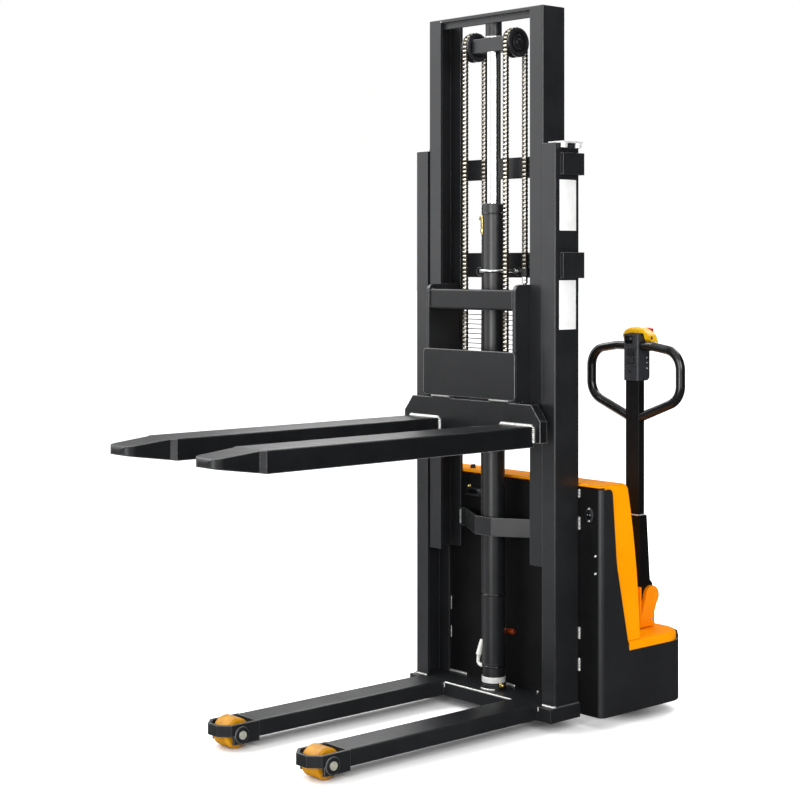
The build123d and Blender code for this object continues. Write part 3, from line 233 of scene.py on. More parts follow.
# Bracket in the hood's colour, sprayed on cast steel and slightly redder.
amber_paint = surface(
    "amber_sprayed_casting", ("#fa8e00", "#ff9806"), 90, (0.42, 0.52), 3.0, 0.03, 2.5, Specular_IOR_Level=0.05
)
# Chain plates, case-hardened and oiled; chain rollers in pale steel, lighter than the plates as a painted
# highlight for the bright arc on each link.
chain_plate = surface("oiled_chain_plate", ("#3f3a32", "#5d564a"), 9, (0.3, 0.45), 2.0, 0.02, Metallic=0.9)
chain_roller = surface(
    "pale_highlight_chain_roller", ("#a29c8e", "#cac5b7"), 9, (0.3, 0.45), 2.0, 0.02, Metallic=0.8
)
# Zinc plate, passivated: pale grey metal with cloudy gloss.
zinc_plate = surface(
    "bright_zinc_plate", ("#c4c6c6", "#dfe0de"), 14, (0.26, 0.42), 1.5, 0.01, 0.6, Metallic=1.0
)
# Guide plates, zinc left dull and whitish by its passivation.
dull_zinc = surface("dull_zinc_plate", ("#d6d7d6", "#eeeeec"), 14, (0.3, 0.45), 1.5, 0.01, 1.0, Metallic=0.3)
# Ends of the wheel pins, zinc with a warm chromate.
pin_zinc = surface("warm_zinc_chromate", ("#d3d0c0", "#e6e3d6"), 8, (0.35, 0.5), 1.5, 0.02, 0.8, Metallic=0.6)
# Blackened steel of the chain wheels and rollers, turned and phosphated: a dull metallic grey-black.
phosphate_steel = surface(
    "black_phosphate_steel", ("#232326", "#303034"), 20, (0.3, 0.4), 1.5, 0.02, 1.0, Metallic=0.2
)
# Drawn wire of the guard, dark dipped.
guard_wire = surface("dipped_guard_wire", ("#2b2c2d", "#3c3d3e"), 25, (0.4, 0.5), 2.0, 0.01)
# Hard chrome on the lift rod, ground and polished; the faint rings of grinding lie across its length.
hard_chrome = surface(
    "hard_chrome_plate", ("#dfe2e5", "#eef0f1"), 60, (0.08, 0.14), 1.2, 0.002, stretch=(1, 1, 6), Metallic=1.0
)
# Extruded rubber hose, matt with a dusty bloom.
hose_rubber = surface("extruded_hose_rubber", ("#18181a", "#222224"), 30, (0.55, 0.7), 1.5, 0.03)
# Cast polyurethane tyres, golden amber and slightly cloudy, scuffed on the tread.
tyre_ambers = ("#b2760a", "#cf9416")
amber_tyre = surface(
    "cast_amber_polyurethane", tyre_ambers, 35, (0.26, 0.38), 3.0, 0.03, 2.5, Specular_IOR_Level=0.3
)
# Dark polyurethane of the drive wheel and caster, matt with a rubbery grain.
dark_tyre = surface("cast_dark_polyurethane", ("#1a1918", "#262422"), 40, (0.5, 0.66), 3.0, 0.06, 1.5)
# Battery case in moulded polypropylene, dull and waxy.
battery_case = surface("moulded_polypropylene", ("#26272a", "#2f3033"), 80, (0.5, 0.6), 2.0, 0.03, 1.5)
# Cast aluminium of the pump, pale with a sand-cast grain.
cast_aluminium = surface(
    "cast_aluminium", ("#9fa1a3", "#b6b8b9"), 25, (0.4, 0.55), 2.0, 0.08, 1.0, Metallic=1.0
)
# Anodised housing of the controller, black with a metal's sheen.
anodised_black = surface(
    "black_anodised_aluminium", ("#1c1d1f", "#242527"), 40, (0.35, 0.45), 1.0, 0.01, 0.8, Metallic=0.7
)
# Moulded ABS of the controls: the head has a spark-eroded texture, the rest is smooth and shines more.
head_plastic = surface("textured_black_abs", ("#232529", "#2b2d31"), 60, (0.4, 0.5), 1.6, 0.025, 2.0)
rocker_plastic = surface("smooth_black_abs", ("#1c1d20", "#242528"), 40, (0.28, 0.36), 2.0, 0.01, 1.0)
yellow_plastic = surface("yellow_moulded_abs", ("#f3b706", "#fbc510"), 40, (0.32, 0.4), 2.0, 0.01, 2.5)
red_plastic = surface("red_moulded_abs", ("#c4151b", "#d01c20"), 40, (0.28, 0.36), 2.0, 0.01, 1.5)
# Weld beads painted near white, a painted highlight for the light their rounded crowns catch, greyer in
# random patches; and weld metal under the black coat.
weld_metal = surface("highlight_pale_weld_bead", ("#a9aaa9", "#e2e2de"), 6, (0.32, 0.5), 2.0, 0.1, Metallic=0.7)
dark_weld = surface("coated_weld_metal", ("#1c1d1f", "#303133"), 7, (0.28, 0.4), 2.0, 0.12)
# Turned brass of the fittings, yellow metal with clean highlights.
turned_brass = surface("turned_brass", ("#a08a45", "#d3c283"), 12, (0.22, 0.35), 1.5, 0.01, 0.6, Metallic=1.0)
# Natural nylon of the hose's lower sleeve, milky white.
white_nylon = surface("natural_nylon", ("#dddcd6", "#efeee9"), 20, (0.36, 0.48), 2.0, 0.01, 0.8)
# Tinted acetal of the tank's filler cap, brownish red and smooth.
filler_acetal = surface("tinted_acetal", ("#561804", "#8a3208"), 10, (0.22, 0.32), 2.0, 0.01, 0.8)
# Blank plates: white vinyl on aluminium, slightly greyed.
blank_vinyl = surface("blank_pale_vinyl", ("#e8e9e8", "#f2f2f1"), 30, (0.4, 0.5), 2.0, 0.01)
# Display window: smoked acrylic, black with a mirror-like gloss; the same black is painted shade in the
# openings of the finger slot, the charge inlet's well and the keyhole.
smoked_window = surface("smoked_acrylic", ("#08090b", "#0d0f12"), 50, (0.1, 0.16), 5.0, 0.002)

finish_of_slot = {
    "black_paint": powder_coat,
    "orange_paint": amber_shell,
    "chain_steel": chain_plate,
    "zinc_steel": zinc_plate,
    "bare_steel": phosphate_steel,
    "chrome_rod": hard_chrome,
    "hose_rubber": hose_rubber,
    "amber_polyurethane": amber_tyre,
    "dark_polyurethane": dark_tyre,
    "battery_case": battery_case,
    "pump_aluminium": cast_aluminium,
    "controller_aluminium": anodised_black,
    "head_plastic": head_plastic,
    "rocker_plastic": rocker_plastic,
    "key_plastic": rocker_plastic,
    "yellow_plastic": yellow_plastic,
    "red_plastic": red_plastic,
}
for subpart in frame["record"]["subparts"]:
    node = frame["nodes"][subpart["node"]]
    node.data.materials.clear()
    node.data.materials.append(finish_of_slot[subpart["material_slot"]])
for finish, names in (
    (gloss_coat, ("cylinder_tube", "cylinder_gland")),
    (guard_wire, ("carriage_guard",)),
    (powder_coat, ("crosshead", "chain_anchors")),
    (sheet_coat, ("left_side_panel", "right_side_panel", "rear_panel")),
    (flat_coat, ("front_panel", "chassis_deck", "tiller_arm")),
    (handle_coat, ("tiller_handle",)),
    (leg_coat, ("left_leg", "right_leg", "inner_strap")),
    (amber_paint, ("steer_head",)),
    (carriage_coat, ("carriage_mid_plate", "carriage_top_bar", "fork_plate", "left_fork", "right_fork")),
    (pin_zinc, ("load_axles",)),
    (dull_zinc, ("guide_plates",)),
):
    for name in names:
        frame["nodes"][name].data.materials[0] = finish


# Mesh work


def place(name, body, finishes, bm, smooth=40):
    """Turns the mesh in hand into a piece that rides on a body."""
    bmesh.ops.recalc_face_normals(bm, faces=bm.faces)
    for face in bm.faces:
        face.smooth = True
    mesh = bpy.data.meshes.new(name)
    bm.to_mesh(mesh)
    bm.free()
    mesh.set_sharp_from_angle(angle=math.radians(smooth))
    for finish in finishes:
        mesh.materials.append(finish)
    piece = show(name, mesh)
    if body:
        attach(piece, body)
    return piece


def edges_of(verts):
    """Every edge that meets one of the corners."""
    return list(dict.fromkeys(edge for vert in verts for edge in vert.link_edges))


def corners_of(geometry):
    """The corners in what an operator returned."""
    return [part for part in geometry if isinstance(part, bmesh.types.BMVert)]


def soften(bm, edges, size):
    """Rounds edges off by a size in millimetres."""
    bmesh.ops.bevel(
        bm, geom=edges, offset=size / 1000, affect="EDGES", segments=2, profile=0.5, material=-1
    )


def rod(bm, start, end, radius, sides=24, far_radius=None, edge=0.0):
    """Turned rod between two points, with broken edges at its ends."""
    axis = end - start
    turn = axis.to_track_quat("Z", "Y").to_matrix().to_4x4()
    verts = bmesh.ops.create_cone(
        bm,
        cap_ends=True,
        segments=sides,
        radius1=radius / 1000,
        radius2=(radius if far_radius is None else far_radius) / 1000,
        depth=axis.length,
        matrix=Matrix.Translation((start + end) / 2) @ turn,
    )["verts"]
    if edge:
        soften(bm, [e for e in edges_of(verts) if any(len(f.verts) > 4 for f in e.link_faces)], edge)


def block(bm, first, last, edge):
    """Rectangular piece between two corners, with rounded edges."""
    middle, size = (first + last) / 2, last - first
    verts = bmesh.ops.create_cube(
        bm, size=1.0, matrix=Matrix.Translation(middle) @ Matrix.Diagonal((size.x, size.y, size.z, 1.0))
    )["verts"]
    soften(bm, edges_of(verts), edge)


def lathe(bm, centre, axis, profile, steps=40):
    """Turned shape: points of (radius, distance along the axis), spun right round the axis."""
    first = len(bm.verts)
    side = axis.orthogonal().normalized()
    points = [bm.verts.new(centre + (side * radius + axis * far) / 1000) for radius, far in profile]
    edges = [bm.edges.new(pair) for pair in zip(points, points[1:])]
    bmesh.ops.spin(
        bm,
        geom=points + edges,
        cent=centre,
        axis=axis,
        angle=math.tau,
        steps=steps,
        use_merge=True,
        use_duplicate=False,
    )
    bm.verts.ensure_lookup_table()
    bmesh.ops.remove_doubles(bm, verts=bm.verts[first:], dist=2e-6)


def ring(bm, centre, axis, inner, outer, height, steps=48):
    """Flat turned ring with broken edges."""
    cut = min(height, outer - inner) * 0.25
    lathe(
        bm,
        centre,
        axis,
        (
            (inner, 0),
            (outer, 0),
            (outer, height - cut),
            (outer - cut, height),
            (inner + cut, height),
            (inner, height - cut),
            (inner, 0),
        ),
        steps,
    )


def hoop(bm, centre, axis, radius, wire, angle=math.tau, start=None, steps=36):
    """Round wire bent about an axis, right round or through an angle from a starting side."""
    side = start or axis.orthogonal().normalized()
    turn = axis.cross(side).to_track_quat("Z", "Y").to_matrix().to_4x4()
    whole = angle == math.tau
    verts = bmesh.ops.create_circle(
        bm,
        cap_ends=not whole,
        radius=wire / 1000,
        segments=12,
        matrix=Matrix.Translation(centre + side * radius / 1000) @ turn,
    )["verts"]
    bmesh.ops.spin(
        bm,
        geom=verts + edges_of(verts) + [face for vert in verts[:1] for face in vert.link_faces],
        cent=centre,
        axis=axis,
        angle=angle,
        steps=steps,
        use_merge=whole,
        use_duplicate=False,
    )


def oval(bm, centre, half_wide, half_high, proud, edge):
    """Oval boss that stands proud of a face which looks to the truck's front."""
    turn = Matrix.Translation(centre) @ Matrix.Rotation(math.pi / 2, 4, "X")
    rim = bmesh.ops.create_circle(bm, cap_ends=True, radius=0.001, segments=36)["verts"]
    bmesh.ops.transform(bm, matrix=turn @ Matrix.Diagonal((half_wide, half_high, 1, 1)), verts=rim)
    grown = bmesh.ops.extrude_face_region(bm, geom=[rim[0].link_faces[0]])["geom"]
    bmesh.ops.translate(bm, vec=-back * proud / 1000, verts=corners_of(grown))
    soften(bm, [part for part in grown if isinstance(part, bmesh.types.BMEdge)], edge)


def screw(bm, seat, out, radius, height):
    """Pan-head screw on a seat, with a socket in its head."""
    lathe(
        bm,
        seat,
        out,
        (
            (0, -0.3),
            (radius, -0.3),
            (radius, height * 0.45),
            (radius * 0.8, height * 0.9),
            (radius * 0.5, height),
            (radius * 0.42, height * 0.5),
            (0, height * 0.45),
        ),
        18,
    )


def hexagon(bm, seat, out, flats, height):
    """Hexagon head or nut with its washer."""
    washer = 1.6
    washer_top = seat + out * (washer / 1000)
    rod(bm, seat - out * 0.0002, washer_top, flats * 0.62, sides=28, edge=0.3)
    rod(bm, washer_top, seat + out * (washer + height) / 1000, flats * 0.577, sides=6, edge=0.8)


def weld(bm, start, end, size, ripple=0.14):
    """Weld bead: a round section drawn from start to end, which swells and pinches at each ripple.

    size is the bead's radius in millimetres, and ripple the share of it by which the bead swells.
    """
    run = end - start
    first_share, last_share, unevenness = 0.5, 0.6, 0.3
    radius = size * first_share
    count = max(4, round(run.length * 1000 / radius))
    turn = run.to_track_quat("Z", "Y").to_matrix().to_4x4()
    verts = bmesh.ops.create_circle(
        bm, cap_ends=True, segments=10, radius=radius / 1000, matrix=Matrix.Translation(start) @ turn
    )["verts"]
    face = verts[0].link_faces[0]
    for step in range(1, count + 1):
        grown = bmesh.ops.extrude_face_region(bm, geom=[face])["geom"]
        face = next(part for part in grown if isinstance(part, bmesh.types.BMFace))
        swell = 1 + ripple * (1 if step % 2 else -1) + shake.uniform(-unevenness, unevenness) * ripple
        wanted = size * (last_share if step == count else swell)
        to_centre = Matrix.Translation(-(start + run * step / count))
        bmesh.ops.translate(bm, vec=run / count, verts=face.verts)
        bmesh.ops.scale(bm, vec=Vector((1, 1, 1)) * wanted / radius, space=to_centre, verts=face.verts)
        radius = wanted


# Lift chains: links of two plates with rollers, and links of two outer plates with pins, in turn
pitch = 12.7
chain_x = 90.0
waist = 0.55
link_meshes = []
for near, far, plate_radius, pin_half, pin_radius, roller in (
    (6.9, 7.9, 6.0, 6.8, 4.5, True),
    (8.1, 9.1, 5.7, 9.5, 2.2, False),
):
    bm = bmesh.new()
    for side in (-1, 1):
        stand = Matrix.Translation((side * near / 1000, 0, 0)) @ Matrix.Rotation(math.pi / 2, 4, "Y")
        outline = bmesh.ops.create_circle(
            bm, cap_ends=True, segments=12, radius=plate_radius / 1000, matrix=stand
        )["verts"]
        for vert in outline:
            at_waist = abs(vert.co.z) < 0.0005
            if at_waist:
                vert.co.y *= waist
            else:
                vert.co.z += math.copysign(pitch / 2000, vert.co.z)
        grown = bmesh.ops.extrude_face_region(bm, geom=[outline[0].link_faces[0]])["geom"]
        bmesh.ops.translate(bm, vec=across * side * (far - near) / 1000, verts=corners_of(grown))
    plate_faces = len(bm.faces)
    for end in (-pitch / 2, pitch / 2):
        rod(bm, Vector((-pin_half, 0, end)) / 1000, Vector((pin_half, 0, end)) / 1000, pin_radius, sides=8)
    bm.faces.ensure_lookup_table()
    for face in bm.faces[plate_faces:]:
        face.material_index = 1 if roller else 0
    mesh = bpy.data.meshes.new("link")
    bm.to_mesh(mesh)
    bm.free()
    link_meshes.append(mesh)


def hang_link(bm, index, matrix):
    """Copies a link into the strand in hand."""
    first = len(bm.verts)
    bm.from_mesh(link_meshes[index % 2])
    bm.verts.ensure_lookup_table()
    bmesh.ops.transform(bm, matrix=matrix, verts=bm.verts[first:])


# Strands from the wheels down to the carriage and to the lower tie
wheel_low, wheel_high = low("left_chain_wheel"), high("left_chain_wheel")
wheel_y = (wheel_low.y + wheel_high.y) / 2
wheel_z = (wheel_low.z + wheel_high.z) / 2
half_band = 6.0
chain_radius = (high("chain_wraps").y - low("chain_wraps").y) / 2 - half_band
strands = (
    ("front_chains", wheel_y - chain_radius, "carriage"),
    ("rear_chains", wheel_y + chain_radius, "chassis"),
)
for node, strand_y, far_body in strands:
    foot_z = low(node).z
    links = round((wheel_z - foot_z) / pitch)
    bm = bmesh.new()
    for side_x in (chain_x, -chain_x):
        for index in range(links):
            hang_link(bm, index, Matrix.Translation(at(side_x, strand_y, wheel_z - (index + 0.5) * pitch)))
    strand = place(node + "_links", None, (chain_plate, chain_roller), bm)
    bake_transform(strand)
    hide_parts(node)
wrap_links, wrap_stretch = 10, 1.035
arm = Matrix.Translation(Vector((0, -chain_radius / 1000, 0))) @ Matrix.Diagonal((1, 1, wrap_stretch, 1))
bm = bmesh.new()
for side_x in (chain_x, -chain_x):
    axle = Matrix.Translation(at(side_x, wheel_y, wheel_z))
    for index in range(wrap_links):
        lean = math.pi * (index + 0.5) / wrap_links
        hang_link(bm, index + 1, axle @ Matrix.Rotation(-lean, 4, "X") @ arm)
wrap = place("chain_wrap_links", "inner_mast", (chain_plate, chain_roller), bm)
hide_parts("chain_wraps")

# Return hose beside the cylinder: a plain rubber hose between the two ports, bowed a little
cylinder_y, tube_radius = 48.0, 35.0
hose_top, hose_foot = high("return_hose"), low("return_hose")
hose_x = (hose_top.x + hose_foot.x) / 2
hose_y = (hose_top.y + hose_foot.y) / 2
hose_line = bpy.data.curves.new("return_hose_tube", "CURVE")
hose_line.dimensions = "3D"
hose_line.bevel_depth = 0.0045
hose_line.bevel_resolution = 4
hose_line.use_fill_caps = True
straight = 120
route = [
    at(hose_x, hose_y, hose_top.z),
    at(hose_x, hose_y, hose_top.z - straight),
    at(hose_x - 3, hose_y - 2, (hose_top.z + hose_foot.z) / 2 + 60),
    at(hose_x, hose_y, hose_foot.z + straight),
    at(hose_x, hose_y, hose_foot.z),
]
spline = hose_line.splines.new("NURBS")
spline.points.add(len(route) - 1)
for point, spot in zip(spline.points, route):
    point.co = (*spot, 1.0)
spline.order_u = 3
spline.use_endpoint_u = True
spline.resolution_u = 16
hose_line.materials.append(hose_rubber)
hose = show("return_hose_tube", hose_line)
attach(hose, "chassis")
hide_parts("return_hose")

# Hose fittings on the cylinder: a brass bleed elbow above, a nylon sleeve and elbow below
bm = bmesh.new()
lathe(
    bm,
    at(hose_x, hose_y, hose_top.z),
    up,
    ((0, -4), (6.4, -4), (6.9, 0), (6.9, 18), (7.6, 20), (7.6, 40), (8.2, 43), (8.2, 52), (6, 56), (0, 57.2)),
    28,
)
rod(bm, at(hose_x, hose_y, hose_top.z + 2), at(hose_x, hose_y, hose_top.z + 15), 9.0, sides=6, edge=0.8)
stub_z = hose_top.z + 47.5
rod(bm, at(hose_x - 12, hose_y, stub_z), at(1 - tube_radius, hose_y, stub_z), 7.2, edge=0.8)
place("bleed_fitting", "chassis", (turned_brass,), bm)
bm = bmesh.new()
elbow_x, elbow_y = hose_x - 12, hose_y - 9
sleeve_top = at(hose_x - 1, hose_y - 2, hose_foot.z + 2)
sleeve_foot = at(hose_x - 10, elbow_y, hose_foot.z - 48)
lean = (sleeve_foot - sleeve_top).normalized()
lathe(bm, sleeve_top, lean, ((0, 0), (5.2, 0), (6.8, 3), (9.4, 46), (9.4, 50), (6.5, 52), (0, 52)), 28)
bend_radius, elbow_radius = 13.0, 6.0
bend_z = hose_foot.z - 77.5 + bend_radius
rod(bm, sleeve_foot, at(elbow_x, elbow_y, bend_z), elbow_radius, 12)
elbow_centre = at(elbow_x + bend_radius, elbow_y, bend_z)
hoop(bm, elbow_centre, -back, bend_radius, elbow_radius, math.pi / 2, -across, 10)
port = at(-32, cylinder_y - 9, bend_z - bend_radius)
rod(bm, elbow_centre - up * bend_radius / 1000, port, elbow_radius, 12)
place("lower_elbow", "chassis", (white_nylon,), bm)

# Cylinder: a plated band, raised rings, a weld round its foot, a drain plug, and a clamp bow at the lower tie
base_top = high("base_frame").z
bm = bmesh.new()
ring(bm, at(0, cylinder_y, 89.5), up, 36.0, 37.4, 18.0, 64)
place("cylinder_band", "chassis", (dull_zinc,), bm)
gland_low = low("cylinder_gland").z
bm = bmesh.new()
for ring_z in (140, 363, gland_low - 1.5):
    hoop(bm, at(0, cylinder_y, ring_z), up, tube_radius + 0.8, 2.6, steps=64)
place("cylinder_rings", "chassis", (handle_coat,), bm)
bm = bmesh.new()
weld_start = Vector((-0.42, -0.91, 0)).normalized()
hoop(bm, at(0, cylinder_y, base_top + 0.8), up, 40.8, 2.8, 1.3, weld_start, 24)
place("foot_weld_ring", "chassis", (weld_metal,), bm)
bm = bmesh.new()
drain_out = (across - 0.15 * back).normalized()
drain_z = base_top + 13
hexagon(bm, at(39, cylinder_y - 6, drain_z), drain_out, 14, 6)
lathe(bm, at(46.5, cylinder_y - 7, drain_z), drain_out, ((6, 0), (6, 3), (4, 5), (0, 5.6)), 20)
place("drain_plug", "chassis", (turned_brass,), bm)
clamp_z, clamp_radius, clamp_wire = 1375.0, 41.0, 5.0
tie_front = low("lower_mast_tie").y + 84
bm = bmesh.new()
hoop(bm, at(0, cylinder_y, clamp_z), -up, clamp_radius, clamp_wire, math.pi, across, 32)
for side in (-1, 1):
    leg_x = side * clamp_radius
    rod(bm, at(leg_x, cylinder_y - 0.5, clamp_z), at(leg_x, tie_front + 1, clamp_z), clamp_wire, 16)
    hexagon(bm, at(leg_x, tie_front + 0.2, clamp_z), -back, 15, 6)
place("cylinder_clamp", "chassis", (zinc_plate,), bm)
bm = bmesh.new()
for eye in (
    at(clamp_radius + 13, tie_front - 5, clamp_z),
    at(-clamp_radius - 10.5, cylinder_y - 12, clamp_z - 2),
):
    hoop(bm, eye, back, 12.5, 2.4)
place("clamp_rings", "chassis", (rocker_plastic,), bm)

# Nuts on the chain studs, pins through the chain lugs, rings on the chain wheels and clips on their pins
stud_y = wheel_y + chain_radius
stud_low = low("chain_anchors").z
bm = bmesh.new()
for side in (-1, 1):
    stud_x = side * chain_x
    hexagon(bm, at(stud_x, stud_y, stud_low + 30), -up, 16, 8)
    hexagon(bm, at(stud_x, stud_y, stud_low + 19), -up, 16, 7)
    rod(bm, at(stud_x, stud_y, stud_low + 0.2), at(stud_x, stud_y, stud_low + 30), 6.3, edge=0.6)
place("stud_nuts", "chassis", (zinc_plate,), bm)
lug_half = 11.5
lug_z = low("front_chains").z
bm = bmesh.new()
for side in (-1, 1):
    for face_x, out in ((chain_x + lug_half, across), (chain_x - lug_half, -across)):
        lathe(
            bm,
            at(side * face_x, wheel_y - chain_radius, lug_z - 12),
            side * out,
            ((0, -0.5), (5.5, -0.5), (5.5, 2.2), (4.5, 3), (0, 3.4)),
            24,
        )
place("lug_pins", "carriage", (zinc_plate,), bm)
for name, side in (("left_chain_wheel", 1), ("right_chain_wheel", -1)):
    bm = bmesh.new()
    for face_x, out in ((wheel_high.x, across), (wheel_low.x, -across)):
        seat = at(side * face_x, wheel_y, wheel_z) - side * out * 0.0004
        ring(bm, seat, side * out, 37.0, 42.5, 1.8)
        ring(bm, seat, side * out, 19.0, 24.0, 2.2)
    place(name + "_rings", name, (phosphate_steel,), bm)
pin_end = high("crosshead").x
bm = bmesh.new()
for side in (-1, 1):
    ring(bm, at(side * (pin_end - 3.2), wheel_y, wheel_z), side * across, 9.9, 13.0, 2.0, 40)
place("wheel_pin_clips", "inner_mast", (phosphate_steel,), bm)
boss_low = low("inner_top_bar").z
bm = bmesh.new()
ring(bm, at(0, cylinder_y, boss_low - 0.5), up, 22.6, 27.2, 5.0, 56)
place("rod_boss_ring", "inner_mast", (zinc_plate,), bm)

# Weld runs on the mast and base: beside the front panel, round the channels' feet and along the base
panel_front = low("front_panel").y
panel_seam, panel_foot = panel_front - 0.8, panel_front - 1
inside_seam = panel_front + 1
bm = bmesh.new()
for side in (-1, 1):
    outside, inside = side * (outer_half + 0.8), side * (outer_half - 53.4)
    for z0, z1 in ((166, 206), (263, 300), (593, 632), (690, 716)):
        weld(bm, at(outside, panel_seam, z0), at(outside, panel_seam, z1), 4.6)
    for z0, z1 in ((179, 218), (270, 313)):
        weld(bm, at(inside, inside_seam, z0), at(inside, inside_seam, z1), 3.0)
    for x0, x1, y, rise0, rise1, size in (
        (outer_half - 52, outer_half - 4, -0.4, 0.5, 0.5, 3.6),
        (outer_half - 1, outer_half - 1, 0, 0, 6, 4.0),
        (150, 150, -23, -16, -1, 2.8),
        (261, 261, -23, -14, -1, 2.8),
    ):
        weld(bm, at(side * x0, y, base_top + rise0), at(side * x1, y, base_top + rise1), size)
for x0, x1, y, rise, size, ripple in (
    (-148, 148, -22.4, 0, 3.2, 0.03),
    (-276, -180, panel_foot, 1, 4.6, 0.06),
    (-14, 38, panel_foot, 1, 4.6, 0.06),
    (134, 142, panel_foot, 1, 4.6, 0.06),
):
    weld(bm, at(x0, y, base_top + rise), at(x1, y, base_top + rise), size, ripple)
place("mast_weld_runs", "chassis", (weld_metal,), bm)
bm = bmesh.new()
for side in (-1, 1):
    foot_x, tack_x, seam_x = (side * (outer_half + proud) for proud in (0.6, 0.5, 1))
    weld(bm, at(foot_x, 6, base_top + 0.5), at(foot_x, 104, base_top + 0.5), 4.0)
    for tie in ("upper_mast_tie", "lower_mast_tie"):
        tie_low, tie_high = low(tie), high(tie)
        for edge_z in (tie_low.z + 2, tie_high.z - 2):
            start = at(tack_x, tie_low.y + 0.5, edge_z)
            weld(bm, start, start + side * across * 0.009, 2.4)
        seam_y = tie_low.y + 0.8
        weld(bm, at(seam_x, seam_y, tie_low.z + 6), at(seam_x, seam_y, tie_high.z - 6), 3.0)
place("coated_weld_runs", "chassis", (dark_weld,), bm)

# Weld runs on the carriage: round the fork heels, under the middle plate and at the top bar's ends
fork_low, fork_high = low("left_fork"), high("left_fork")
heel_seam, fork_top = fork_high.y - 1, fork_high.z
bar_low, bar_high = low("carriage_top_bar"), high("carriage_top_bar")
tab_y, tab_z = fork_high.y - 3, low("carriage_mid_plate").z - 2
bm = bmesh.new()
for side in (-1, 1):
    heel_x0, heel_x1 = side * (fork_low.x + 2), side * (fork_high.x - 2)
    weld(bm, at(heel_x0, heel_seam, fork_top), at(heel_x1, heel_seam, fork_top), 7.0, 0.05)
    for edge_x in (side * fork_high.x, side * fork_low.x):
        weld(bm, at(edge_x, heel_seam, fork_top), at(edge_x, heel_seam, fork_low.z + 13), 6.0, 0.08)
    weld(bm, at(side * 88, tab_y, tab_z), at(side * 171, tab_y, tab_z), 3.8, 0.04)
place("carriage_weld_runs", "carriage", (weld_metal,), bm)
bm = bmesh.new()
for side in (-1, 1):
    end_x = side * (bar_high.x - 0.5)
    weld(bm, at(end_x, bar_low.y - 0.4, bar_low.z + 5), at(end_x, bar_low.y - 0.4, bar_high.z - 4), 4.2)
    weld(bm, at(end_x, bar_low.y + 3, bar_high.z + 0.3), at(end_x, bar_high.y - 2, bar_high.z + 0.3), 3.4)
place("carriage_coated_welds", "carriage", (dark_weld,), bm)

# Weld runs on the inner mast: at the top bar's ends and down both ends of the strap
strap_low, strap_high = low("inner_strap"), high("inner_strap")
strap_seam = strap_high.y - 8.4
inner_side = low("left_inner_channel").x
mast_top = high("inner_top_bar").z
bm = bmesh.new()
for side in (-1, 1):
    corner_x = side * (inner_side - 1)
    weld(bm, at(corner_x, 14, mast_top - 4), at(corner_x, 26, mast_top - 4), 3.4)
place("inner_coated_welds", "inner_mast", (dark_weld,), bm)
bm = bmesh.new()
weld(bm, at(3 - inner_side, 8, mast_top - 10), at(3 - inner_side, 8, mast_top - 3), 3.6)
for end_x in (strap_low.x + 0.5, strap_high.x - 0.5):
    weld(bm, at(end_x, strap_seam, strap_low.z + 5), at(end_x, strap_seam, strap_high.z - 5), 3.6)
place("inner_bright_welds", "inner_mast", (weld_metal,), bm)

# Front panel: an oval charge inlet with two pins and two screws, and the panel's own screws
inlet_x, inlet_z, inlet_screw, inlet_proud = 351.0, 642.0, 18.6, 3.0
bm = bmesh.new()
oval(bm, at(inlet_x, panel_front + 0.2, inlet_z), 16, 24, 3.2, 0.8)
place("charge_inlet", "chassis", (dark_weld,), bm)
bm = bmesh.new()
# The inlet's well is a dark oval, painted shade in place of its hollow.
oval(bm, at(inlet_x, panel_front - 2.6, inlet_z), 11.5, 14, 1.8, 0.5)
place("charge_inlet_well", "chassis", (smoked_window,), bm)
bm = bmesh.new()
for screw_z in (inlet_z + inlet_screw, inlet_z - inlet_screw):
    screw(bm, at(inlet_x, panel_front - inlet_proud, screw_z), -back, 4.2, 2.6)
for screw_x in (374, -374):
    for screw_z in (520, 467):
        screw(bm, at(screw_x, panel_front, screw_z), -back, 5.0, 2.6)
for pin_x in (inlet_x - 4.5, inlet_x + 4.5):
    rod(bm, at(pin_x, panel_front - 4, inlet_z), at(pin_x, panel_front - 5.8, inlet_z), 2.2, 16, edge=0.3)
place("panel_screws", "chassis", (zinc_plate,), bm)

# Front panel: a brass fitting, a finger slot with its ledge, and the tank's filler cap on a short stem
bm = bmesh.new()
lathe(
    bm,
    at(-168, panel_front, 681),
    -back,
    ((0, -0.3), (7.5, -0.3), (7.5, 3), (5.5, 5), (5.5, 9), (4, 10.5), (0, 11)),
    24,
)
place("panel_fitting", "chassis", (turned_brass,), bm)
bm = bmesh.new()
block(bm, at(-184, panel_front - 2.2, 650), at(-112, panel_front + 0.3, 676), 2.0)
block(bm, at(-180, panel_front - 9, 652), at(-116, panel_front - 1, 656), 1.5)
place("finger_slot_rim", "chassis", (powder_coat,), bm)
bm = bmesh.new()
# The finger slot is a thin black sheet, painted shade in place of the slot's hollow.
block(bm, at(-178, panel_front - 2.6, 658), at(-118, panel_front - 1.8, 671), 0.3)
place("finger_slot", "chassis", (smoked_window,), bm)
filler_z, stem_x = 243, 21
bm = bmesh.new()
rod(bm, at(stem_x, panel_front + 0.5, filler_z), at(stem_x, panel_front - 8, filler_z), 8, 20)
lathe(
    bm,
    at(-4, panel_front - 10, filler_z),
    across,
    ((0, 0), (8, 0), (9.5, 2), (9.5, 14), (7.5, 16), (7.5, 30), (9.5, 32), (9.5, 46), (8, 48), (0, 48.5)),
    24,
)
place("filler_cap", "chassis", (filler_acetal,), bm)

# Battery gauge on the hood, beside the key
key_low, key_high = low("key"), high("key")
from_key = 97
gauge = at((key_low.x + key_high.x) / 2 + from_key, (key_low.y + key_high.y) / 2, high("hood").z)
gauge -= up * 0.0004
bm = bmesh.new()
ring(bm, gauge, up, 21.0, 26.0, 3.6, 48)
place("gauge_bezel", "chassis", (rocker_plastic,), bm)
bm = bmesh.new()
lathe(bm, gauge, up, ((0, 1.6), (21.4, 1.6), (21.4, 2.2), (12, 2.8), (0, 3.0)), 40)
place("gauge_window", "chassis", (smoked_window,), bm)

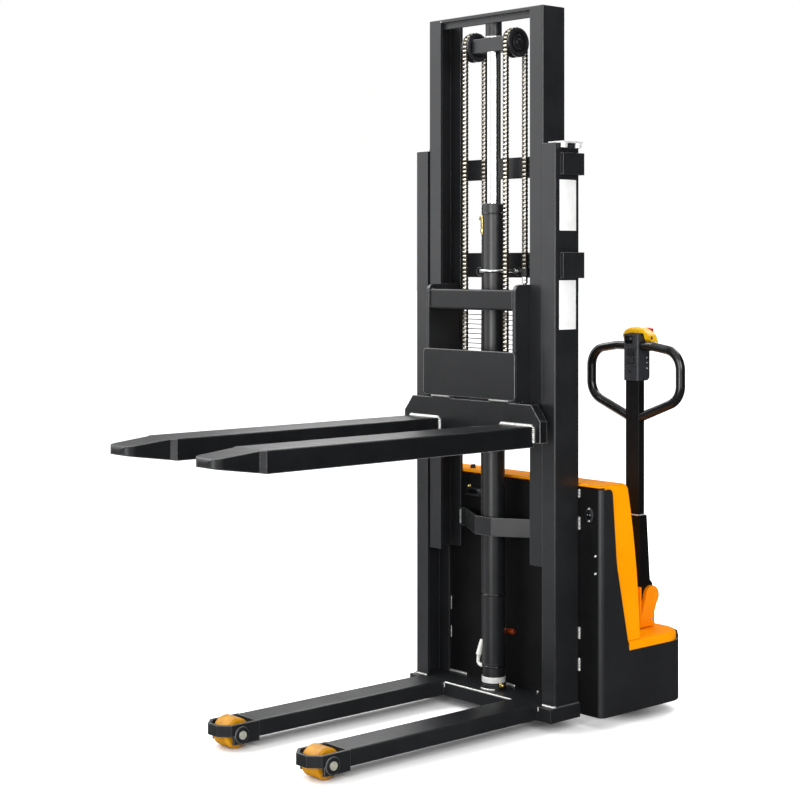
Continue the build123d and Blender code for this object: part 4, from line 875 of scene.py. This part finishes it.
# Blank plates on the side of the left channel
bm = bmesh.new()
for y0, y1, z0, z1 in ((19, 91, 1497, 1650), (17, 90, 1200, 1348)):
    block(bm, at(outer_half - 0.2, y0, z0), at(outer_half + 0.8, y1, z1), 0.35)
place("blank_plates", "chassis", (blank_vinyl,), bm)

# Control head: a display window, two trim lines, a ringed keyhole, and cover screws on both sides
tiller_x = 270.0
head_front, head_half = low("control_head").y, 30.0
hole_x, hole_z = tiller_x - 3, 1060
bm = bmesh.new()
block(bm, at(tiller_x - 23, head_front - 0.6, 1146), at(tiller_x + 8, head_front + 0.5, 1171), 0.5)
# The keyhole is a dark disc, painted shade in place of the hole.
rod(bm, at(hole_x, head_front + 0.5, hole_z), at(hole_x, head_front - 0.9, hole_z), 3.2, 24, edge=0.4)
place("head_display", "tiller", (smoked_window,), bm)
bm = bmesh.new()
for trim_z in (1132, 1073):
    trim_foot = at(tiller_x - 24, head_front - 0.9, trim_z)
    block(bm, trim_foot, at(tiller_x + 24, head_front + 0.5, trim_z + 2.4), 0.4)
ring(bm, at(hole_x, head_front + 0.4, hole_z), -back, 3.6, 6.0, 1.6, 28)
place("head_trim", "tiller", (rocker_plastic,), bm)
bm = bmesh.new()
for side in (-1, 1):
    for screw_z in (1102, 1085.5, 1068):
        screw(bm, at(tiller_x + side * head_half, 430, screw_z), side * across, 3.0, 1.6)
place("head_screws", "tiller", (zinc_plate,), bm)

# Tiller: weld lines where the tube enters its sleeve, and a screw in each side of the bracket
sleeve_front, front_z, side_z = 391.0, 607.6, 607.4
front_seam = sleeve_front + 1.2
bm = bmesh.new()
weld(bm, at(tiller_x - 27, front_seam, front_z), at(tiller_x + 27, front_seam, front_z), 2.6, 0.05)
for side in (-1, 1):
    edge_x = tiller_x + side * 28.6
    weld(bm, at(edge_x, sleeve_front + 3, side_z), at(edge_x, sleeve_front + 29, side_z), 2.4, 0.05)
place("sleeve_weld", "tiller", (weld_metal,), bm)
bm = bmesh.new()
for side in (-1, 1):
    screw(bm, at(tiller_x + side * 38, 444, 278), side * across, 4.0, 2.0)
place("bracket_screws", "steering", (zinc_plate,), bm)

# Load wheels: plated hub faces inside the amber tyres
hub_half = 34.8
for name in ("left_load_wheel", "right_load_wheel"):
    hub = at(*((first + last) / 2 for first, last in zip(low(name), high(name))))
    bm = bmesh.new()
    for out in (across, -across):
        ring(bm, hub + out * (hub_half / 1000), out, 17.4, 25.0, 1.0, 48)
    place(name + "_hub_faces", name, (zinc_plate,), bm)

# Stage: a pale floor that keeps the shadow, softboxes, and flags that only reflections see


def stage_plane(name, finish, half_wide, half_high, spot, turn):
    """A flat sheet of the studio."""
    bm = bmesh.new()
    bmesh.ops.create_grid(bm, x_segments=1, y_segments=1, size=1.0)
    bmesh.ops.transform(bm, matrix=Matrix.Diagonal((half_wide, half_high, 1, 1)), verts=bm.verts)
    mesh = bpy.data.meshes.new(name)
    bm.to_mesh(mesh)
    bm.free()
    mesh.materials.append(finish)
    sheet = show(name, mesh)
    sheet.location = spot
    sheet.rotation_euler = turn
    return sheet


def eye_rays(tree):
    """An output that is 1 for rays which end in the picture, straight or mirrored, and 0 for lighting."""
    rays = add(tree, "ShaderNodeLightPath").outputs
    seen = rays["Is Camera Ray"]
    for kind in ("Is Glossy Ray", "Is Transmission Ray"):
        seen = add(tree, "ShaderNodeMath", {0: seen, 1: rays[kind]}, operation="MAXIMUM").outputs[0]
    return seen


# The floor glows white to the eye, with a painted shadow: less glow within a rounded box about the truck and
# where parts come near
paper = blank_finish("pale_floor")
tree = paper.node_tree
seen = eye_rays(tree)
shadow_box, shadow_reach, shadow_tone = (0.36, 0.64, 0), 0.45, 0.6
contact_reach, contact_power = 0.1, 2.2
reach = add(tree, "ShaderNodeTexCoord").outputs["Object"]
for operation, inputs in (("ABSOLUTE", {}), ("SUBTRACT", {1: shadow_box}), ("MAXIMUM", {1: (0, 0, 0)})):
    reach = add(tree, "ShaderNodeVectorMath", {0: reach, **inputs}, operation=operation).outputs[0]
reach = add(tree, "ShaderNodeVectorMath", {0: reach}, operation="LENGTH").outputs["Value"]
contact = add(tree, "ShaderNodeAmbientOcclusion", {"Distance": contact_reach}, samples=8).outputs["AO"]
near_truck = add(tree, "ShaderNodeMath", {0: contact, 1: contact_power}, operation="POWER").outputs[0]
fade = add(
    tree,
    "ShaderNodeMapRange",
    {"Value": reach, "From Min": 0.0, "From Max": shadow_reach, "To Min": shadow_tone, "To Max": 1.0},
).outputs["Result"]
matt = add(tree, "ShaderNodeBsdfDiffuse", {"Color": linear("#f0f0f0")}).outputs["BSDF"]
shadowed_glow = add(tree, "ShaderNodeMath", {0: fade, 1: near_truck}, operation="MULTIPLY").outputs[0]
glow = add(tree, "ShaderNodeEmission", {"Color": (1, 1, 1, 1), "Strength": shadowed_glow}).outputs["Emission"]
white = add(tree, "ShaderNodeAddShader", {0: matt, 1: glow}).outputs["Shader"]
floor_look = add(tree, "ShaderNodeMixShader", {0: seen, 1: matt, 2: white}).outputs["Shader"]
add(tree, "ShaderNodeOutputMaterial", {"Surface": floor_look})
floor_half = 60
stage_plane("floor", paper, floor_half, floor_half, at(0, -180, cad_box[0][2] * 1000 - 0.5), (0, 0, 0))


def flag(name, tone, width, height, spot, aim):
    """Dark or grey sheet beside the truck that darkens its reflections and nothing else."""
    cloth = blank_finish(name)
    shade = add(cloth.node_tree, "ShaderNodeEmission", {"Color": (1, 1, 1, 1), "Strength": tone})
    add(cloth.node_tree, "ShaderNodeOutputMaterial", {"Surface": shade.outputs["Emission"]})
    turn = (aim - spot).to_track_quat("Z", "Y").to_euler()
    sheet = stage_plane(name, cloth, width / 2, height / 2, spot, turn)
    sheet.visible_camera = False
    sheet.visible_diffuse = False
    sheet.visible_shadow = False
    sheet.visible_transmission = False
    sheet.visible_volume_scatter = False


flag("side_flag", 0.03, 15.0, 7.0, at(3600, 3300, 2600), at(300, 0, 2600))
flag("back_flag", 0.15, 10.0, 3.4, at(-3600, 3600, 1100), at(0, 0, 1100))
flag("front_flag", 0.4, 6.4, 0.9, at(-3500, -3400, 350), at(0, 0, 350))
flag("front_floor_flag", 0.5, 5.6, 6.4, at(-3200, -3300, 3), at(-3200, -3300, 3000))
flag("floor_flag", 0.05, 6.2, 9.0, at(2700, 1300, 3), at(2700, 1300, 3000))

# World: dim for lighting, white to the eye
world = bpy.data.worlds.new("studio")
bpy.context.scene.world = world
world.use_nodes = True
tree = world.node_tree
tree.nodes.clear()
seen = eye_rays(tree)
room, backdrop = (
    add(tree, "ShaderNodeBackground", {"Color": (1, 1, 1, 1), "Strength": strength}).outputs["Background"]
    for strength in (0.35, 1.0)
)
sky = add(tree, "ShaderNodeMixShader", {0: seen, 1: room, 2: backdrop})
add(tree, "ShaderNodeOutputWorld", {"Surface": sky.outputs["Shader"]})


def softbox(name, spot, aim, width, height, radiance):
    """Area lamp at a spot, turned to its aim; the radiance is that of its face."""
    lamp = bpy.data.lights.new(name, "AREA")
    lamp.shape = "RECTANGLE"
    lamp.size, lamp.size_y = width, height
    lamp.energy = radiance * math.pi * width * height
    holder = show(name, lamp)
    holder.location = spot
    holder.rotation_euler = (aim - spot).to_track_quat("-Z", "Y").to_euler()
    holder.visible_camera = False


softbox("wall_softbox", at(-3400, -3300, 2500), at(0, -300, 2350), 4.6, 3.4, 1.05)
softbox("strip_softbox", at(1550, -4600, 1600), at(0, -200, 1100), 1.6, 3.2, 7.0)
softbox("key_softbox", at(4450, -1500, 2600), at(200, 0, 800), 2.0, 2.4, 7.0)
softbox("crown_softbox", at(-3000, -3200, 4700), at(0, 0, 1200), 3.2, 1.1, 13.0)
softbox("left_top_softbox", at(-3100, -400, 4400), at(0, -100, 1100), 2.0, 2.0, 6.0)
softbox("rear_top_softbox", at(400, 3300, 4300), at(200, 100, 1100), 1.6, 1.6, 7.0)
softbox("edge_softbox", at(3300, -3300, 2000), at(0, 0, 1200), 0.6, 2.0, 4.0)
softbox("back_softbox", at(-3300, 3300, 3300), at(0, -400, 700), 3.0, 1.4, 6.0)

# Camera level at the photograph's height, looking in from the truck's front left; sizes in pixels
picture, focal = 800, 1748.1
centre_x, centre_y = 397.2, 263.2
bearing = math.radians(48.49)
lens = bpy.data.cameras.new("photo_camera")
lens.sensor_width = 36.0
lens.lens = focal * lens.sensor_width / picture
lens.shift_x = (picture / 2 - centre_x) / picture
lens.shift_y = -(picture / 2 - centre_y) / picture
lens.clip_end = 200
camera = show("photo_camera", lens)
camera.location = at(3903.7, -3811.0, 1399.1)
camera.rotation_euler = (math.pi / 2, 0, bearing)
bpy.context.scene.camera = camera
bpy.context.scene.view_settings.view_transform = "Standard"
